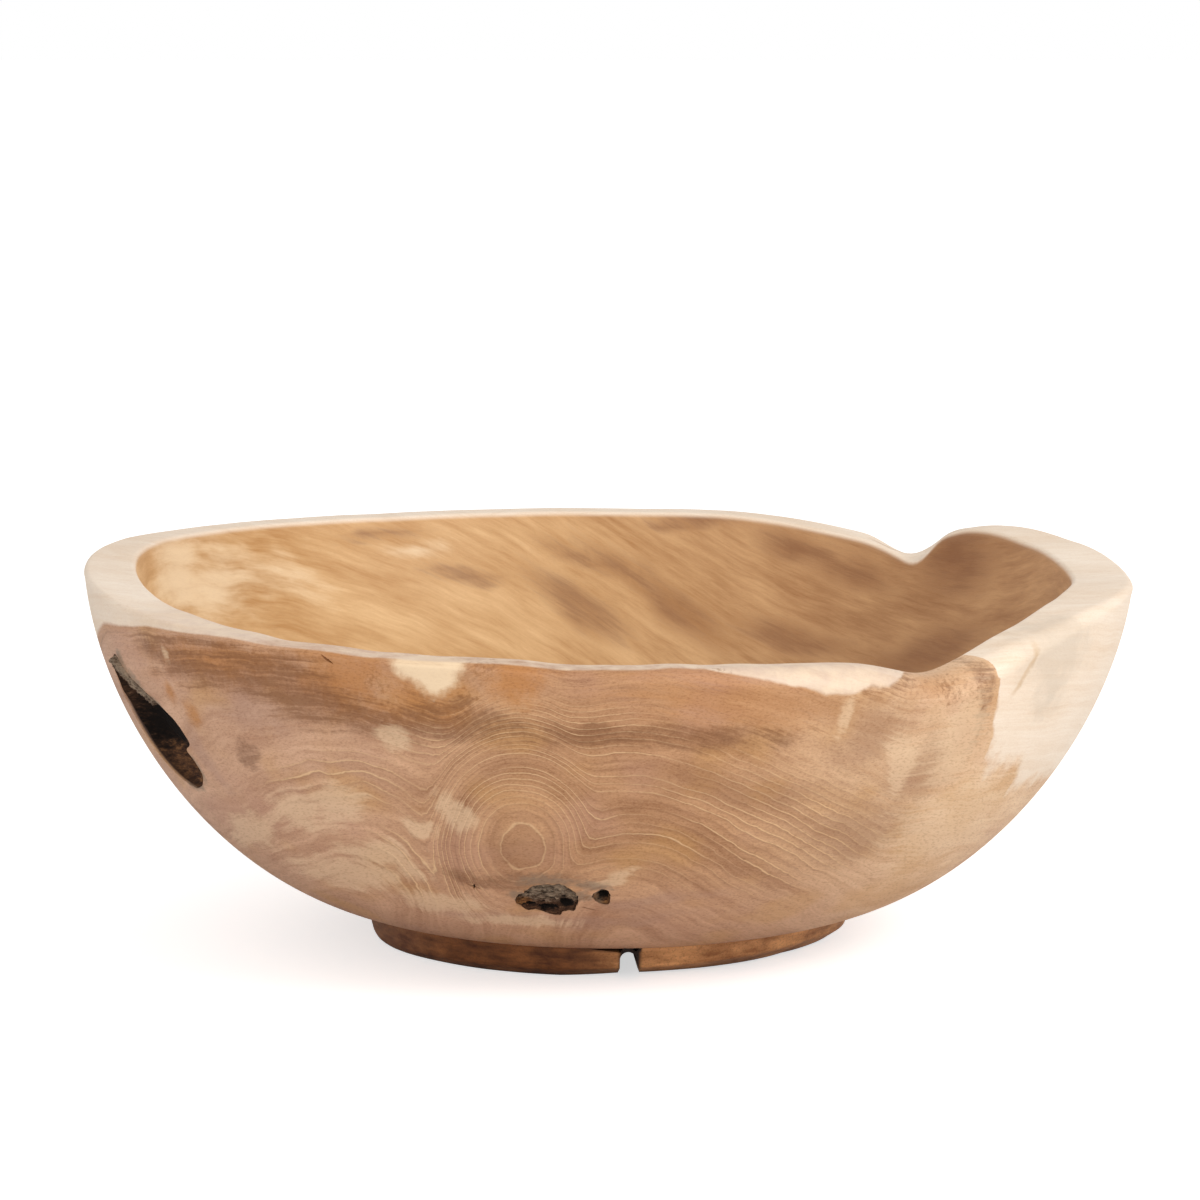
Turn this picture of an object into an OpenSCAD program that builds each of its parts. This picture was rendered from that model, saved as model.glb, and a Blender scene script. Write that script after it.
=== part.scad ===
// Salad bowl carved from one block of teak root, glued on a turned foot ring.
// Ingrown bark sits in three hollows of the wall. All lengths are millimetres.
// A bearing turns from +X (the right) through +Y (the back); a height is above the table.

/* [Bowl] */
// Width across the rim, before the rim's own waves
bowl_d = 298; // [250:1:400]
// Height of the rim, before the rim's own waves
rim_h = 104; // [85:1:150]
// Width of the rim's land, before the rim's own waves
rim_land = 12; // [9:0.5:20]
// Radius that rounds both edges of the rim
rim_round = 2; // [0.5:0.1:4]
// Thickness of the floor over the seat
floor_t = 14; // [10:0.5:25]
// How far above the rim's height the carved walls would meet its tallest crest
crest_h = 6; // [6:0.5:15]

/* [Outer wall] */
// Slope of the wall where it leaves the seat, in degrees
belly_slope = 12; // [5:1:30]
// How far the wall holds that slope
belly_run = 46; // [30:1:60]
// How far below the crest the wall starts to turn upright
side_run = 41; // [20:1:55]
// Lean of the wall at the crest, in degrees off upright
side_lean = 2; // [0:1:12]

/* [Basin] */
// How far below the crest the inner wall starts to turn in
basin_drop = 52; // [35:1:65]
// How far the inner wall leans in over that drop
basin_lean = 10; // [4:1:16]
// How far from the middle the basin's floor starts to rise
basin_run = 76; // [50:1:90]

/* [Foot ring] */
// Width of the ring at its top
foot_d = 139; // [110:1:180]
// Height of the ring
foot_h = 9; // [7:0.5:20]
// Width of the ring's wall
foot_wall = 16; // [12:1:30]
// How far the ring's side draws in from top to bottom
foot_taper = 2; // [0:0.5:5]
// Height of the worn bevel on the ring's bottom edge, where it is largest
bevel_h = 3; // [1:0.5:5]
// How far the bevel is off the ring's centre
bevel_shift = 2; // [0:0.5:4]
// Bearing where the bevel is largest, in degrees
bevel_bearing = 330; // [0:1:359]
// Width of the seat around the ring
seat_lip = 0.5; // [0.2:0.1:5]
// Height of the spigot that the ring is glued over
spigot_h = 3; // [2:0.5:5]
// Gap between the spigot and the ring
spigot_gap = 0.15; // [0.05:0.05:0.5]

/* [Foot notch] */
// Bearing of the notch, in degrees
notch_bearing = 274.5; // [200:0.5:340]
// Width of the notch at its round top
notch_w = 4.4; // [2:0.1:10]
// How much wider the notch is at the table
notch_flare = 1.8; // [0:0.1:5]
// Wood that is left over the notch
notch_roof = 1.2; // [0.5:0.1:4]

/* [Left hollow] */
// Bearing of the hollow's middle, in degrees
hollow_bearing = 206.5; // [190:0.5:230]
// Height of the hollow's middle
hollow_z = 69.5; // [55:0.5:80]
// Length of the hollow's mouth
hollow_l = 46; // [20:1:60]
// Width of the hollow's mouth
hollow_w = 30; // [14:1:40]
// Depth of the hollow
hollow_depth = 11.5; // [9:0.5:12]
// Turn of the hollow's mouth away from upright, in degrees
hollow_turn = 27; // [0:1:60]
// Least thickness of the bark that lines the hollow
crust_t = 3; // [2:0.5:4]
// How deep the bark's edge lies in the hollow
crust_recess = 4; // [3:0.5:5]

/* [Front pocket] */
// Bearing of the pocket's middle, in degrees
pocket_bearing = 261.5; // [240:0.5:264]
// Height of the pocket's middle
pocket_z = 30; // [26:0.5:60]
// Length of the pocket's mouth, up the wall
pocket_l = 17; // [10:0.5:30]
// Width of the pocket's mouth
pocket_w = 18; // [10:0.5:22]
// Depth of the pocket
pocket_depth = 5.5; // [4:0.5:8]
// How deep the edge of the pocket's bark lies in it
pocket_recess = 1.2; // [0.8:0.1:2]

/* [Knot hole] */
// Bearing of the hole's middle, in degrees
knot_bearing = 269; // [268:0.5:300]
// Height of the hole's middle
knot_z = 31.5; // [26:0.5:60]
// Length of the hole's mouth, up the wall
knot_l = 7.6; // [4:0.1:12]
// Width of the hole's mouth
knot_w = 5; // [3:0.1:6]
// Depth of the hole
knot_depth = 4; // [2.5:0.1:8]
// How deep the edge of the hole's bark lies in it
knot_recess = 1; // [0.5:0.1:1.5]

/* [Bark] */
// Gap between a piece of bark and the wood
bark_gap = 0.2; // [0.1:0.05:0.4]
// Height of the lumps on the bark
bark_lump = 0.7; // [0.2:0.1:1]
// Distance from one lump to the next
bark_pitch = 7; // [4:0.5:15]
// How deep the bark in the pocket and the hole is dished
bark_dish = 1; // [0.2:0.1:1.5]

/* [Hidden] */

// The rim as it waves round the bowl: bearing, then what is added to reach, height and land there
RIM_WAVES = [
    [0, 0.5, -0.5, 4],
    [20, 0.5, 2.5, 4],
    [38, 0.5, 2, 2],
    [45, 0, -2, 1],
    [50, 0, -8.5, 0],
    [58, 0, -2, 0],
    [70, -0.5, 1, 0],
    [90, -0.5, 2, 0],
    [120, -0.5, 2.5, 0],
    [150, 0, 4, 0],
    [172, 0, 5, 1.5],
    [190, 0, 3, 2],
    [210, 0.5, -0.5, 0],
    [230, 0, -3.5, -2],
    [256, 0.5, -5, -2],
    [270, 0.5, -6, -2],
    [285, 0.5, -6.5, -2],
    [298, 0, -8, -2],
    [309, -0.5, -13, -2],
    [320, 0, -6, 0],
    [340, 0.5, -0.5, 4],
];
REACH = 1;
HEIGHT = 2;
LAND = 3;

// Facets round the bowl, up each wall, over each edge of the rim, and round and across a piece of bark
BOWL_COLS = 96;
WALL_ROWS = 14;
EDGE_STEPS = 3;
BARK_COLS = 28;
BARK_ROWS = 6;
// How far the rows of lumps on the bark slant
LUMP_SLANT = 1 / 3;
// Facets of the turned surfaces
$fn = 96;
// Halvings that find a height on the outer wall
SEARCH_STEPS = 24;
// How far a cutting shape runs past what it cuts
CUT = 1;

foot_r = foot_d / 2;
bore_r = foot_r - foot_wall;
spigot_r = bore_r - spigot_gap;
seat_r = foot_r + seat_lip;
floor_z = foot_h + floor_t;
crest_z = rim_h + crest_h;
notch_top = foot_h - notch_roof;
bevel_edge_r = foot_r - foot_taper * (1 - bevel_h / foot_h);
bevel_base_r = bevel_edge_r + bevel_shift - bevel_h;

// A smooth closed curve through the rim's waves
function wave_count() = len(RIM_WAVES);
function wave(i, what) = RIM_WAVES[(i + wave_count()) % wave_count()][what];
function wave_bearing(i) = wave(i, 0) + 360 * floor(i / wave_count());
function wave_before(a) = max([for (i = [0:wave_count() - 1]) if (wave(i, 0) <= a) i]);
function chord(i, what) = (wave(i + 1, what) - wave(i, what)) / (wave_bearing(i + 1) - wave_bearing(i));
function wave_slope(i, what) =
    let (before = wave_bearing(i) - wave_bearing(i - 1), after = wave_bearing(i + 1) - wave_bearing(i))
    (chord(i - 1, what) * after + chord(i, what) * before) / (before + after);
function rim_wave(a, what) =
    let (
        i = wave_before(a),
        span = wave_bearing(i + 1) - wave_bearing(i),
        t = (a - wave_bearing(i)) / span,
        from = wave(i, what),
        to = wave(i + 1, what),
        leave = wave_slope(i, what) * span,
        arrive = wave_slope(i + 1, what) * span
    )
    from + leave * t + (3 * (to - from) - 2 * leave - arrive) * t ^ 2
        + (2 * (from - to) + leave + arrive) * t ^ 3;

function rim_r(a) = bowl_d / 2 + rim_wave(a, REACH);
function rim_z(a) = rim_h + rim_wave(a, HEIGHT);
function land_w(a) = rim_land + rim_wave(a, LAND);

// A cubic curve from four points, and its direction
function curve(p, t) =
    p[0] * (1 - t) ^ 3 + 3 * p[1] * t * (1 - t) ^ 2 + 3 * p[2] * t ^ 2 * (1 - t) + p[3] * t ^ 3;
function curve_dir(p, t) =
    3 * (p[1] - p[0]) * (1 - t) ^ 2 + 6 * (p[2] - p[1]) * t * (1 - t) + 3 * (p[3] - p[2]) * t ^ 2;

// Where a rising curve reaches a height
function find_height(p, z, low = 0, high = 1, steps = SEARCH_STEPS) =
    let (middle = (low + high) / 2)
    steps == 0 ? middle
        : curve(p, middle)[1] < z ? find_height(p, z, middle, high, steps - 1)
        : find_height(p, z, low, middle, steps - 1);

// The carved walls at a bearing, as [reach, height], from the bottom up to the crest
function outer_curve(a) =
    let (foot = [seat_r, foot_h], crest = [rim_r(a), crest_z])
    [
        foot,
        foot + belly_run * [cos(belly_slope), sin(belly_slope)],
        crest - side_run * [sin(side_lean), cos(side_lean)],
        crest
    ];
function inner_curve(a) =
    let (crest = [rim_r(a) - land_w(a), crest_z])
    [[0, floor_z], [basin_run, floor_z], crest - [basin_lean, basin_drop], crest];

// The bowl's section: up the outer wall, over the rim that cuts both walls off, and down the inner wall
function section(a) =
    let (
        edge_z = rim_z(a) - rim_round,
        outer = outer_curve(a),
        inner = inner_curve(a),
        outer_end = find_height(outer, edge_z),
        inner_end = find_height(inner, edge_z)
    )
    concat(
        [for (i = [0:WALL_ROWS]) curve(outer, outer_end * i / WALL_ROWS)],
        [for (i = [1:EDGE_STEPS])
            let (turn = 90 * i / EDGE_STEPS)
            curve(outer, outer_end) + rim_round * [cos(turn) - 1, sin(turn)]],
        [for (i = [0:EDGE_STEPS - 1])
            let (turn = 90 * i / EDGE_STEPS)
            curve(inner, inner_end) + rim_round * [1 - sin(turn), cos(turn)]],
        [for (i = [0:WALL_ROWS - 1]) curve(inner, inner_end * (1 - i / WALL_ROWS))]
    );

// Faces of a closed skin: a first pole, rows of points and a last pole
function skin_faces(rows, cols) =
    let (last = rows * cols + 1)
    concat(
        [for (j = [0:cols - 1]) [0, 1 + j, 1 + (j + 1) % cols]],
        [for (i = [0:rows - 2], j = [0:cols - 1])
            let (a = 1 + i * cols, b = a + cols, k = (j + 1) % cols)
            each [[a + j, b + k, a + k], [a + j, b + j, b + k]]],
        [for (j = [0:cols - 1]) let (a = 1 + (rows - 1) * cols) [last, a + (j + 1) % cols, a + j]]
    );

// Stands children on the outer wall: X runs down the wall, Y round the bowl, Z out of the wood
module on_wall(bearing, z, turn = 0) {
    p = outer_curve(bearing);
    t = find_height(p, z);
    place = curve(p, t);
    along = curve_dir(p, t);
    rotate([0, 0, bearing])
        translate([place[0], 0, place[1]])
            rotate([0, atan2(along[1], -along[0]), turn])
                children();
}
module on_hollow() {
    on_wall(hollow_bearing, hollow_z, hollow_turn) children();
}
module on_pocket() {
    on_wall(pocket_bearing, pocket_z) children();
}
module on_knot() {
    on_wall(knot_bearing, knot_z) children();
}

// A hollow in the wall: half of an egg that is sunk to its depth
module egg(length, width, depth) {
    scale([length / 2, width / 2, depth]) sphere(1);
}

// Bark that fills the bottom of such a hollow, with a dished and lumpy face
module bark(length, width, depth, recess, dish) {
    half_l = length / 2 - bark_gap;
    half_w = width / 2 - bark_gap;
    deep = depth - bark_gap;
    brim = sqrt(1 - (recess / deep) ^ 2);
    function at(v, a, z) = [half_l * brim * v * cos(a), half_w * brim * v * sin(a), z];
    function under(v, a) = at(v, a, -deep * sqrt(1 - (brim * v) ^ 2));
    function lumps(p) =
        bark_lump * sin(360 * p[0] / bark_pitch) * cos(360 * (p[1] + LUMP_SLANT * p[0]) / bark_pitch);
    function face(v, a) = at(v, a, -recess - (dish + lumps(at(v, a, 0))) * (1 - v ^ 2));
    turns = [for (j = [0:BARK_COLS - 1]) 360 * j / BARK_COLS];
    polyhedron(
        concat(
            [under(0, 0)],
            [for (i = [1:BARK_ROWS], a = turns) under(i / BARK_ROWS, a)],
            [for (i = [1:BARK_ROWS - 1], a = turns) face(1 - i / BARK_ROWS, a)],
            [face(0, 0)]
        ),
        skin_faces(2 * BARK_ROWS - 1, BARK_COLS)
    );
}

// The carved skin of the bowl, before the hollows
module carved_bowl() {
    bearings = [for (j = [0:BOWL_COLS - 1]) 360 * j / BOWL_COLS];
    sections = [for (a = bearings) section(a)];
    rows = len(sections[0]);
    polyhedron(
        concat(
            [[0, 0, foot_h]],
            [for (i = [0:rows - 1], j = [0:BOWL_COLS - 1])
                let (p = sections[j][i])
                [p[0] * cos(bearings[j]), p[0] * sin(bearings[j]), p[1]]],
            [[0, 0, floor_z]]
        ),
        skin_faces(rows, BOWL_COLS)
    );
}

module bowl_shell() {
    color([0.73, 0.54, 0.38])
        difference() {
            union() {
                carved_bowl();
                translate([0, 0, foot_h - spigot_h]) cylinder(r = spigot_r, h = spigot_h + CUT);
            }
            on_hollow() egg(hollow_l, hollow_w, hollow_depth);
            on_pocket() egg(pocket_l, pocket_w, pocket_depth);
            on_knot() egg(knot_l, knot_w, knot_depth);
        }
}

module foot_ring() {
    color([0.45, 0.27, 0.15])
        difference() {
            intersection() {
                cylinder(r1 = foot_r - foot_taper, r2 = foot_r, h = foot_h);
                rotate([0, 0, bevel_bearing])
                    translate([-bevel_shift, 0, 0])
                        cylinder(r1 = bevel_base_r, r2 = bevel_base_r + foot_h, h = foot_h);
            }
            translate([0, 0, -CUT]) cylinder(r = bore_r, h = foot_h + 2 * CUT);
            rotate([0, 0, notch_bearing]) notch();
        }
}

// The notch's slot: upright on its left, flared on its right, and round on top
module notch() {
    half = notch_w / 2;
    slot_l = foot_wall + 2 * CUT;
    translate([bore_r - CUT, 0, 0]) {
        rotate([90, 0, 90])
            linear_extrude(slot_l)
                polygon([
                    [-half, -CUT],
                    [half + notch_flare, -CUT],
                    [half, notch_top - half],
                    [-half, notch_top - half]
                ]);
        translate([0, 0, notch_top - half]) rotate([0, 90, 0]) cylinder(r = half, h = slot_l);
    }
}

module left_bark_lining() {
    dish = hollow_depth - crust_recess - crust_t;
    color([0.27, 0.2, 0.15])
        on_hollow() bark(hollow_l, hollow_w, hollow_depth, crust_recess, dish);
}

module front_bark_pocket() {
    color([0.36, 0.28, 0.2])
        on_pocket() bark(pocket_l, pocket_w, pocket_depth, pocket_recess, bark_dish);
}

module front_bark_knot() {
    color([0.33, 0.25, 0.18])
        on_knot() bark(knot_l, knot_w, knot_depth, knot_recess, bark_dish);
}

bowl_shell();
foot_ring();
left_bark_lining();
front_bark_pocket();
front_bark_knot();
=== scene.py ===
import math

import bpy
import numpy as np
from mathutils import Matrix, Vector, noise


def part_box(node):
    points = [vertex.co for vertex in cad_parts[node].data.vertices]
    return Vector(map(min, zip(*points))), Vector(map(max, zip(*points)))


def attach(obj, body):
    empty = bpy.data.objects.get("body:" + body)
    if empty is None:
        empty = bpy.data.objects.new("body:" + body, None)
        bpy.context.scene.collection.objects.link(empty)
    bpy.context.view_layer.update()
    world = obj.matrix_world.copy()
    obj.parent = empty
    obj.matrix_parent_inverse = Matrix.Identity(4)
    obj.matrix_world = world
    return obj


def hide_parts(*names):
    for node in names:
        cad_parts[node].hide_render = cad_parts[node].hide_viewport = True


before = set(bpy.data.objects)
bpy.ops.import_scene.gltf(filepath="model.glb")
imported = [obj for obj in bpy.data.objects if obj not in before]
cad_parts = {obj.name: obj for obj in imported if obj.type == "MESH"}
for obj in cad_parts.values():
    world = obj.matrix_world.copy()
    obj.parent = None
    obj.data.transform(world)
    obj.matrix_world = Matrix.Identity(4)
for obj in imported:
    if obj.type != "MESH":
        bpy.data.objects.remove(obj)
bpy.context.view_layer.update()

# The unevenness is the same on each run
noise.seed_set(3)

# Bowl shell
# One block of teak root, turned round on a lathe, then carved and sanded by hand, so that its rim still waves
# as the root did. Bark had grown into three hollows of the wall, and a spigot underneath takes the foot ring.

MM = 0.001
RIM_R = 148.98
RIM_H = 104
RIM_LAND = 12
INNER_ROUND = 1.6
FLOOR_T = 14
CREST_H = 6
BELLY_SLOPE = math.radians(12)
BELLY_RUN = 46
SIDE_RUN = 41
SIDE_LEAN = math.radians(2)
BASIN_DROP = 52
BASIN_LEAN = 10
BASIN_RUN = 76
FOOT_WALL = 16
SEAT_LIP = 0.5
SPIGOT_H = 3
SPIGOT_GAP = 0.15
# Bearing, what is added there to the rim's reach, height and land, and how far its outer edge rolls over
RIM_WAVES = np.array([
    (0, 0.5, -0.5, 4, 2), (20, 0.5, 2.5, 4, 2), (40, 0.5, 2, 2, 2), (44, 0, -0.5, 1, 2),
    (48.3, 0, -7.6, 0, 2), (57, 0, -3, 0, 2), (70, -0.5, 1, 0, 2), (90, -0.5, 2, 0, 2),
    (120, -0.5, 2.5, 0, 2), (150, 0, 4, 0, 2), (172, 0, 5, 1.5, 2), (190, 0, 3, 2, 1.5),
    (210, 0.5, -0.5, 0, 1.5), (230, 0, -3.5, -2, 1.5), (256, 0.5, -5, -2, 2), (270, 0.5, -6, -2, 3),
    (285, 0.5, -6.5, -2, 5), (298, 0, -8, -2, 7), (309, -0.5, -13, -2, 7), (320, 0, -6, 0, 5),
    (340, 0.5, -0.5, 4, 2.5),
])
COLS = 480
WALL_ROWS = 80
EDGE_ROWS = 6
LAND_ROWS = 4
BASIN_ROWS = 48
WOOD_CREASE = 38
HALVINGS = 40
SLOPE_STEP = 0.01
# Hand work leaves the wall and the rim uneven: how deep, and how far from one dent to the next
DENT = 0.35
DENT_PITCH = 48
RIM_DENT = 1.6
RIM_DENT_PITCH = 15
RIM_DENT_LEAST = 0.2
# The groove at the back runs straight back, so it has another bearing on the rim's inner edge
GROOVE_BEARING = 46
GROOVE_REACH = 9
GROOVE_TURN = 4.4

foot_low, foot_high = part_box("foot_ring")
foot_h = foot_high.z / MM
foot_r = (foot_high.x - foot_low.x) / 2 / MM
bore_r = foot_r - FOOT_WALL
seat_r = foot_r + SEAT_LIP
floor_z = foot_h + FLOOR_T
crest_z = RIM_H + CREST_H


def rim_at(bearing):
    """Reach, height, land and outer roll of the rim at bearings in degrees, on a smooth closed curve."""
    turn = np.array([360, 0, 0, 0, 0])
    waves = np.vstack([RIM_WAVES[-1:] - turn, RIM_WAVES, RIM_WAVES[:2] + turn])
    gap = np.diff(waves[:, 0])[:, None]
    chord = np.diff(waves[:, 1:], axis=0) / gap
    slope = (chord[:-1] * gap[1:] + chord[1:] * gap[:-1]) / (gap[:-1] + gap[1:])
    i = np.searchsorted(waves[:, 0], bearing % 360, side="right") - 1
    t = ((bearing % 360 - waves[i, 0]) / gap[i, 0])[:, None]
    start, end = waves[i, 1:], waves[i + 1, 1:]
    leave, arrive = slope[i - 1] * gap[i], slope[i] * gap[i]
    added = start + leave * t + (3 * (end - start) - 2 * leave - arrive) * t**2
    added = added + (2 * (start - end) + leave + arrive) * t**3
    return RIM_R + added[:, 0], RIM_H + added[:, 1], RIM_LAND + added[:, 2], added[:, 3]


def curve(points, t):
    """A cubic curve from four points, at one place on it for each bearing."""
    t = t[:, None]
    a, b, c, d = points
    return a * (1 - t)**3 + 3 * b * t * (1 - t)**2 + 3 * c * t**2 * (1 - t) + d * t**3


def rise_to(points, height):
    """Where a rising curve reaches a height."""
    low, high = np.zeros(len(height)), np.ones(len(height))
    for _ in range(HALVINGS):
        middle = (low + high) / 2
        under = curve(points, middle)[:, 1] < height
        low, high = np.where(under, middle, low), np.where(under, high, middle)
    return (low + high) / 2


def wall_curve(bearing):
    """The outer wall at each bearing, as [reach, height], from the seat to the crest."""
    crest = np.stack([rim_at(bearing)[0], np.full(len(bearing), float(crest_z))], axis=1)
    seat = np.array([seat_r, foot_h]) + 0 * crest
    belly = BELLY_RUN * np.array([math.cos(BELLY_SLOPE), math.sin(BELLY_SLOPE)])
    side = SIDE_RUN * np.array([math.sin(SIDE_LEAN), math.cos(SIDE_LEAN)])
    return seat, seat + belly, crest - side, crest


def basin_curve(bearing):
    """The basin at each bearing, as [reach, height], from the middle of its floor to the crest."""
    reach, _, land, _ = rim_at(bearing)
    crest = np.stack([reach - land, np.full(len(bearing), float(crest_z))], axis=1)
    middle = np.array([0, floor_z]) + 0 * crest
    return middle, middle + [BASIN_RUN, 0], crest - [BASIN_LEAN, BASIN_DROP], crest


def dents(points, pitch):
    """Smooth unevenness, from 0 to 1."""
    return np.array([0.5 + 0.5 * noise.noise(Vector(q) / pitch) for q in points])


def around(bearing, reach, height):
    """Places round the bowl, by bearing in degrees, reach and height."""
    angle = np.radians(bearing)
    return np.stack([reach * np.cos(angle), reach * np.sin(angle), height], axis=1)


def bearings(p):
    """The bearing of each place, in degrees."""
    return np.degrees(np.arctan2(p[:, 1], p[:, 0])) % 360


def rim_top(bearing):
    """The rim's height at each bearing, with its dents, most of them in front."""
    reach, height, _, _ = rim_at(bearing)
    front = np.clip(-np.sin(np.radians(bearing)), RIM_DENT_LEAST, 1)
    return height - RIM_DENT * front * dents(around(bearing, reach, height), RIM_DENT_PITCH)


def inner_top(bearing):
    """The height of the rim's inner edge at each bearing."""
    return rim_top(bearing + GROOVE_TURN * np.exp(-((bearing - GROOVE_BEARING) / GROOVE_REACH)**2))


def section_at(bearing):
    """The shell's section at each bearing, in rows: up the wall, over the rim and down the basin."""
    roll = rim_at(bearing)[3]
    wall, basin = wall_curve(bearing), basin_curve(bearing)
    wall_end = rise_to(wall, rim_top(bearing) - roll)
    basin_end = rise_to(basin, inner_top(bearing) - INNER_ROUND)
    wall_edge, basin_edge = curve(wall, wall_end), curve(basin, basin_end)
    rows = [curve(wall, wall_end * i / WALL_ROWS) for i in range(WALL_ROWS + 1)]
    turns = [math.pi / 2 * i / EDGE_ROWS for i in range(EDGE_ROWS + 1)]
    rows += [wall_edge + roll[:, None] * [math.cos(a) - 1, math.sin(a)] for a in turns[1:]]
    top_out, top_in = rows[-1], basin_edge + INNER_ROUND
    rows += [top_out + (top_in - top_out) * i / LAND_ROWS for i in range(1, LAND_ROWS)]
    rows += [basin_edge + INNER_ROUND * np.array([1 - math.sin(a), math.cos(a)]) for a in turns]
    rows += [curve(basin, basin_end * (1 - i / BASIN_ROWS)) for i in range(1, BASIN_ROWS + 1)]
    return np.array(rows)


def on_wall(bearing, height, wall_at=wall_curve):
    """A frame on the outer wall or the basin, in millimetres: X round the bowl, Y up it, Z outwards."""
    points = wall_at(np.array([bearing]))
    t = rise_to(points, np.array([height]))
    reach, rise = curve(points, t)[0]
    run, climb = curve(points, t + SLOPE_STEP)[0] - curve(points, t - SLOPE_STEP)[0]
    a = math.radians(bearing)
    ahead = Vector((math.cos(a), math.sin(a), 0))
    round_bowl = Vector((-math.sin(a), math.cos(a), 0))
    up = (ahead * run + Vector((0, 0, climb))).normalized()
    frame_at = Matrix((round_bowl, up, round_bowl.cross(up))).transposed().to_4x4()
    frame_at.translation = ahead * reach + Vector((0, 0, rise))
    return frame_at


def start_mesh(name):
    """Names the primitive that was just added, and opens it in edit mode with everything selected."""
    piece = bpy.context.object
    piece.name = name
    piece.data.name = name
    bpy.ops.object.mode_set(mode="EDIT")
    bpy.ops.mesh.select_all(action="SELECT")
    return piece


def spin_blank(name, outline, cols):
    """Turns an outline of [reach, height] into a round blank, as on a lathe."""
    bpy.ops.object.select_all(action="DESELECT")
    bpy.ops.mesh.primitive_plane_add(size=MM)
    piece = start_mesh(name)
    bpy.ops.mesh.merge(type="CENTER")
    bpy.ops.transform.translate(value=(outline[0][0] * MM, 0, outline[0][1] * MM))
    for here, there in zip(outline[:-1], outline[1:]):
        step = ((there[0] - here[0]) * MM, 0, (there[1] - here[1]) * MM)
        bpy.ops.mesh.extrude_vertices_move(TRANSFORM_OT_translate={"value": step})
    bpy.ops.mesh.select_all(action="SELECT")
    bpy.ops.mesh.spin(steps=cols, angle=2 * math.pi, center=(0, 0, 0), axis=(0, 0, 1))
    bpy.ops.mesh.select_all(action="SELECT")
    bpy.ops.mesh.remove_doubles(threshold=0.01 * MM)
    bpy.ops.mesh.normals_make_consistent(inside=False)
    bpy.ops.object.mode_set(mode="OBJECT")
    return piece


def places(piece):
    """The piece's vertices, in millimetres."""
    flat = np.empty(len(piece.data.vertices) * 3)
    piece.data.vertices.foreach_get("co", flat)
    return flat.reshape(-1, 3) / MM


def put(piece, points):
    """Puts the piece's vertices at places in millimetres."""
    piece.data.vertices.foreach_set("co", (np.asarray(points) * MM).ravel())
    piece.data.update()


def rows_and_bearings(piece, outline):
    """Which point of its outline each vertex of a spun blank came from, and its bearing."""
    p = places(piece)
    reach = np.hypot(p[:, 0], p[:, 1])
    off = (reach[:, None] - outline[:, 0])**2 + (p[:, 2:] - outline[:, 1])**2
    return off.argmin(axis=1), bearings(p)


spigot_r = bore_r - SPIGOT_GAP
spigot = np.array([(0, foot_h - SPIGOT_H), (spigot_r, foot_h - SPIGOT_H), (spigot_r, foot_h)])
outline = np.vstack([spigot, section_at(np.zeros(1))[:, 0]])
shell = spin_blank("bowl_shell_carved", outline, COLS)

# The carving: each row of the blank moves to the waving bowl's own section at its bearing
row, bearing = rows_and_bearings(shell, outline)
p = places(shell)
carved = row >= len(spigot)
col = np.rint(bearing * COLS / 360).astype(int) % COLS
sections = section_at(np.arange(COLS) * 360 / COLS)
own_row = row[carved] - len(spigot)
reach, height = sections[own_row, col[carved]].T
on_outside = (own_row > 0) & (own_row < WALL_ROWS)
reach = reach - np.where(on_outside, DENT * dents(p[carved], DENT_PITCH), 0)
p[carved] = around(bearing[carved], reach, height)
put(shell, p)


def smooth_loop(points, count):
    """A smooth closed curve through given points."""
    points = np.asarray(points, float)
    t = np.arange(count) / count * len(points)
    i = t.astype(int)
    t = (t - i)[:, None]
    a, b, c, d = (points[(i + k) % len(points)] for k in (-1, 0, 1, 2))
    return b + t * (c - a) / 2 + t**2 * (a - 2.5 * b + 2 * c - d / 2) + t**3 * (1.5 * (b - c) + (d - a) / 2)


NIBBLE_PITCH = 1.3


def mouth_of(middle, corners, count, nibbled):
    """A hollow's nibbled mouth, seen square on. Its corners are bearings and heights on the wall."""
    flat = on_wall(*middle).inverted()
    loop = smooth_loop([(flat @ on_wall(*corner).translation)[:2] for corner in corners], count)
    return loop + nibbled * np.array([noise.noise_vector(Vector((*q, 0)) / NIBBLE_PITCH)[:2] for q in loop])


def carried(p, by):
    """Places moved by a matrix."""
    by = np.array(by)
    return p @ by[:3, :3].T + by[:3, 3]


def loft(name, rings, place):
    """A closed solid through a row of rings with as many points each, in millimetres, set in a frame."""
    count = rings.shape[1]
    bpy.ops.object.select_all(action="DESELECT")
    bpy.ops.mesh.primitive_circle_add(vertices=count, radius=MM, fill_type="NGON")
    piece = start_mesh(name)
    for _ in rings[1:]:
        bpy.ops.mesh.extrude_region_move(TRANSFORM_OT_translate={"value": (0, 0, -MM)})
    bpy.ops.object.mode_set(mode="OBJECT")
    q = places(piece)
    ring = np.rint(-q[:, 2]).astype(int)
    corner = np.rint(np.arctan2(q[:, 1], q[:, 0]) / (2 * math.pi) * count).astype(int) % count
    q = rings[ring, corner]
    put(piece, carried(q, place))
    bpy.ops.object.mode_set(mode="EDIT")
    bpy.ops.mesh.select_all(action="SELECT")
    bpy.ops.mesh.normals_make_consistent(inside=False)
    bpy.ops.object.mode_set(mode="OBJECT")
    return piece, q


def pick(*pieces):
    """Selects these pieces and no others, the first of them active."""
    bpy.ops.object.select_all(action="DESELECT")
    for piece in pieces:
        piece.select_set(True)
    bpy.context.view_layer.objects.active = pieces[0]


def smooth(piece, crease):
    """Shades a piece smooth between creases of that many degrees and more."""
    pick(piece)
    bpy.ops.object.shade_smooth_by_angle(angle=math.radians(crease))


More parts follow.
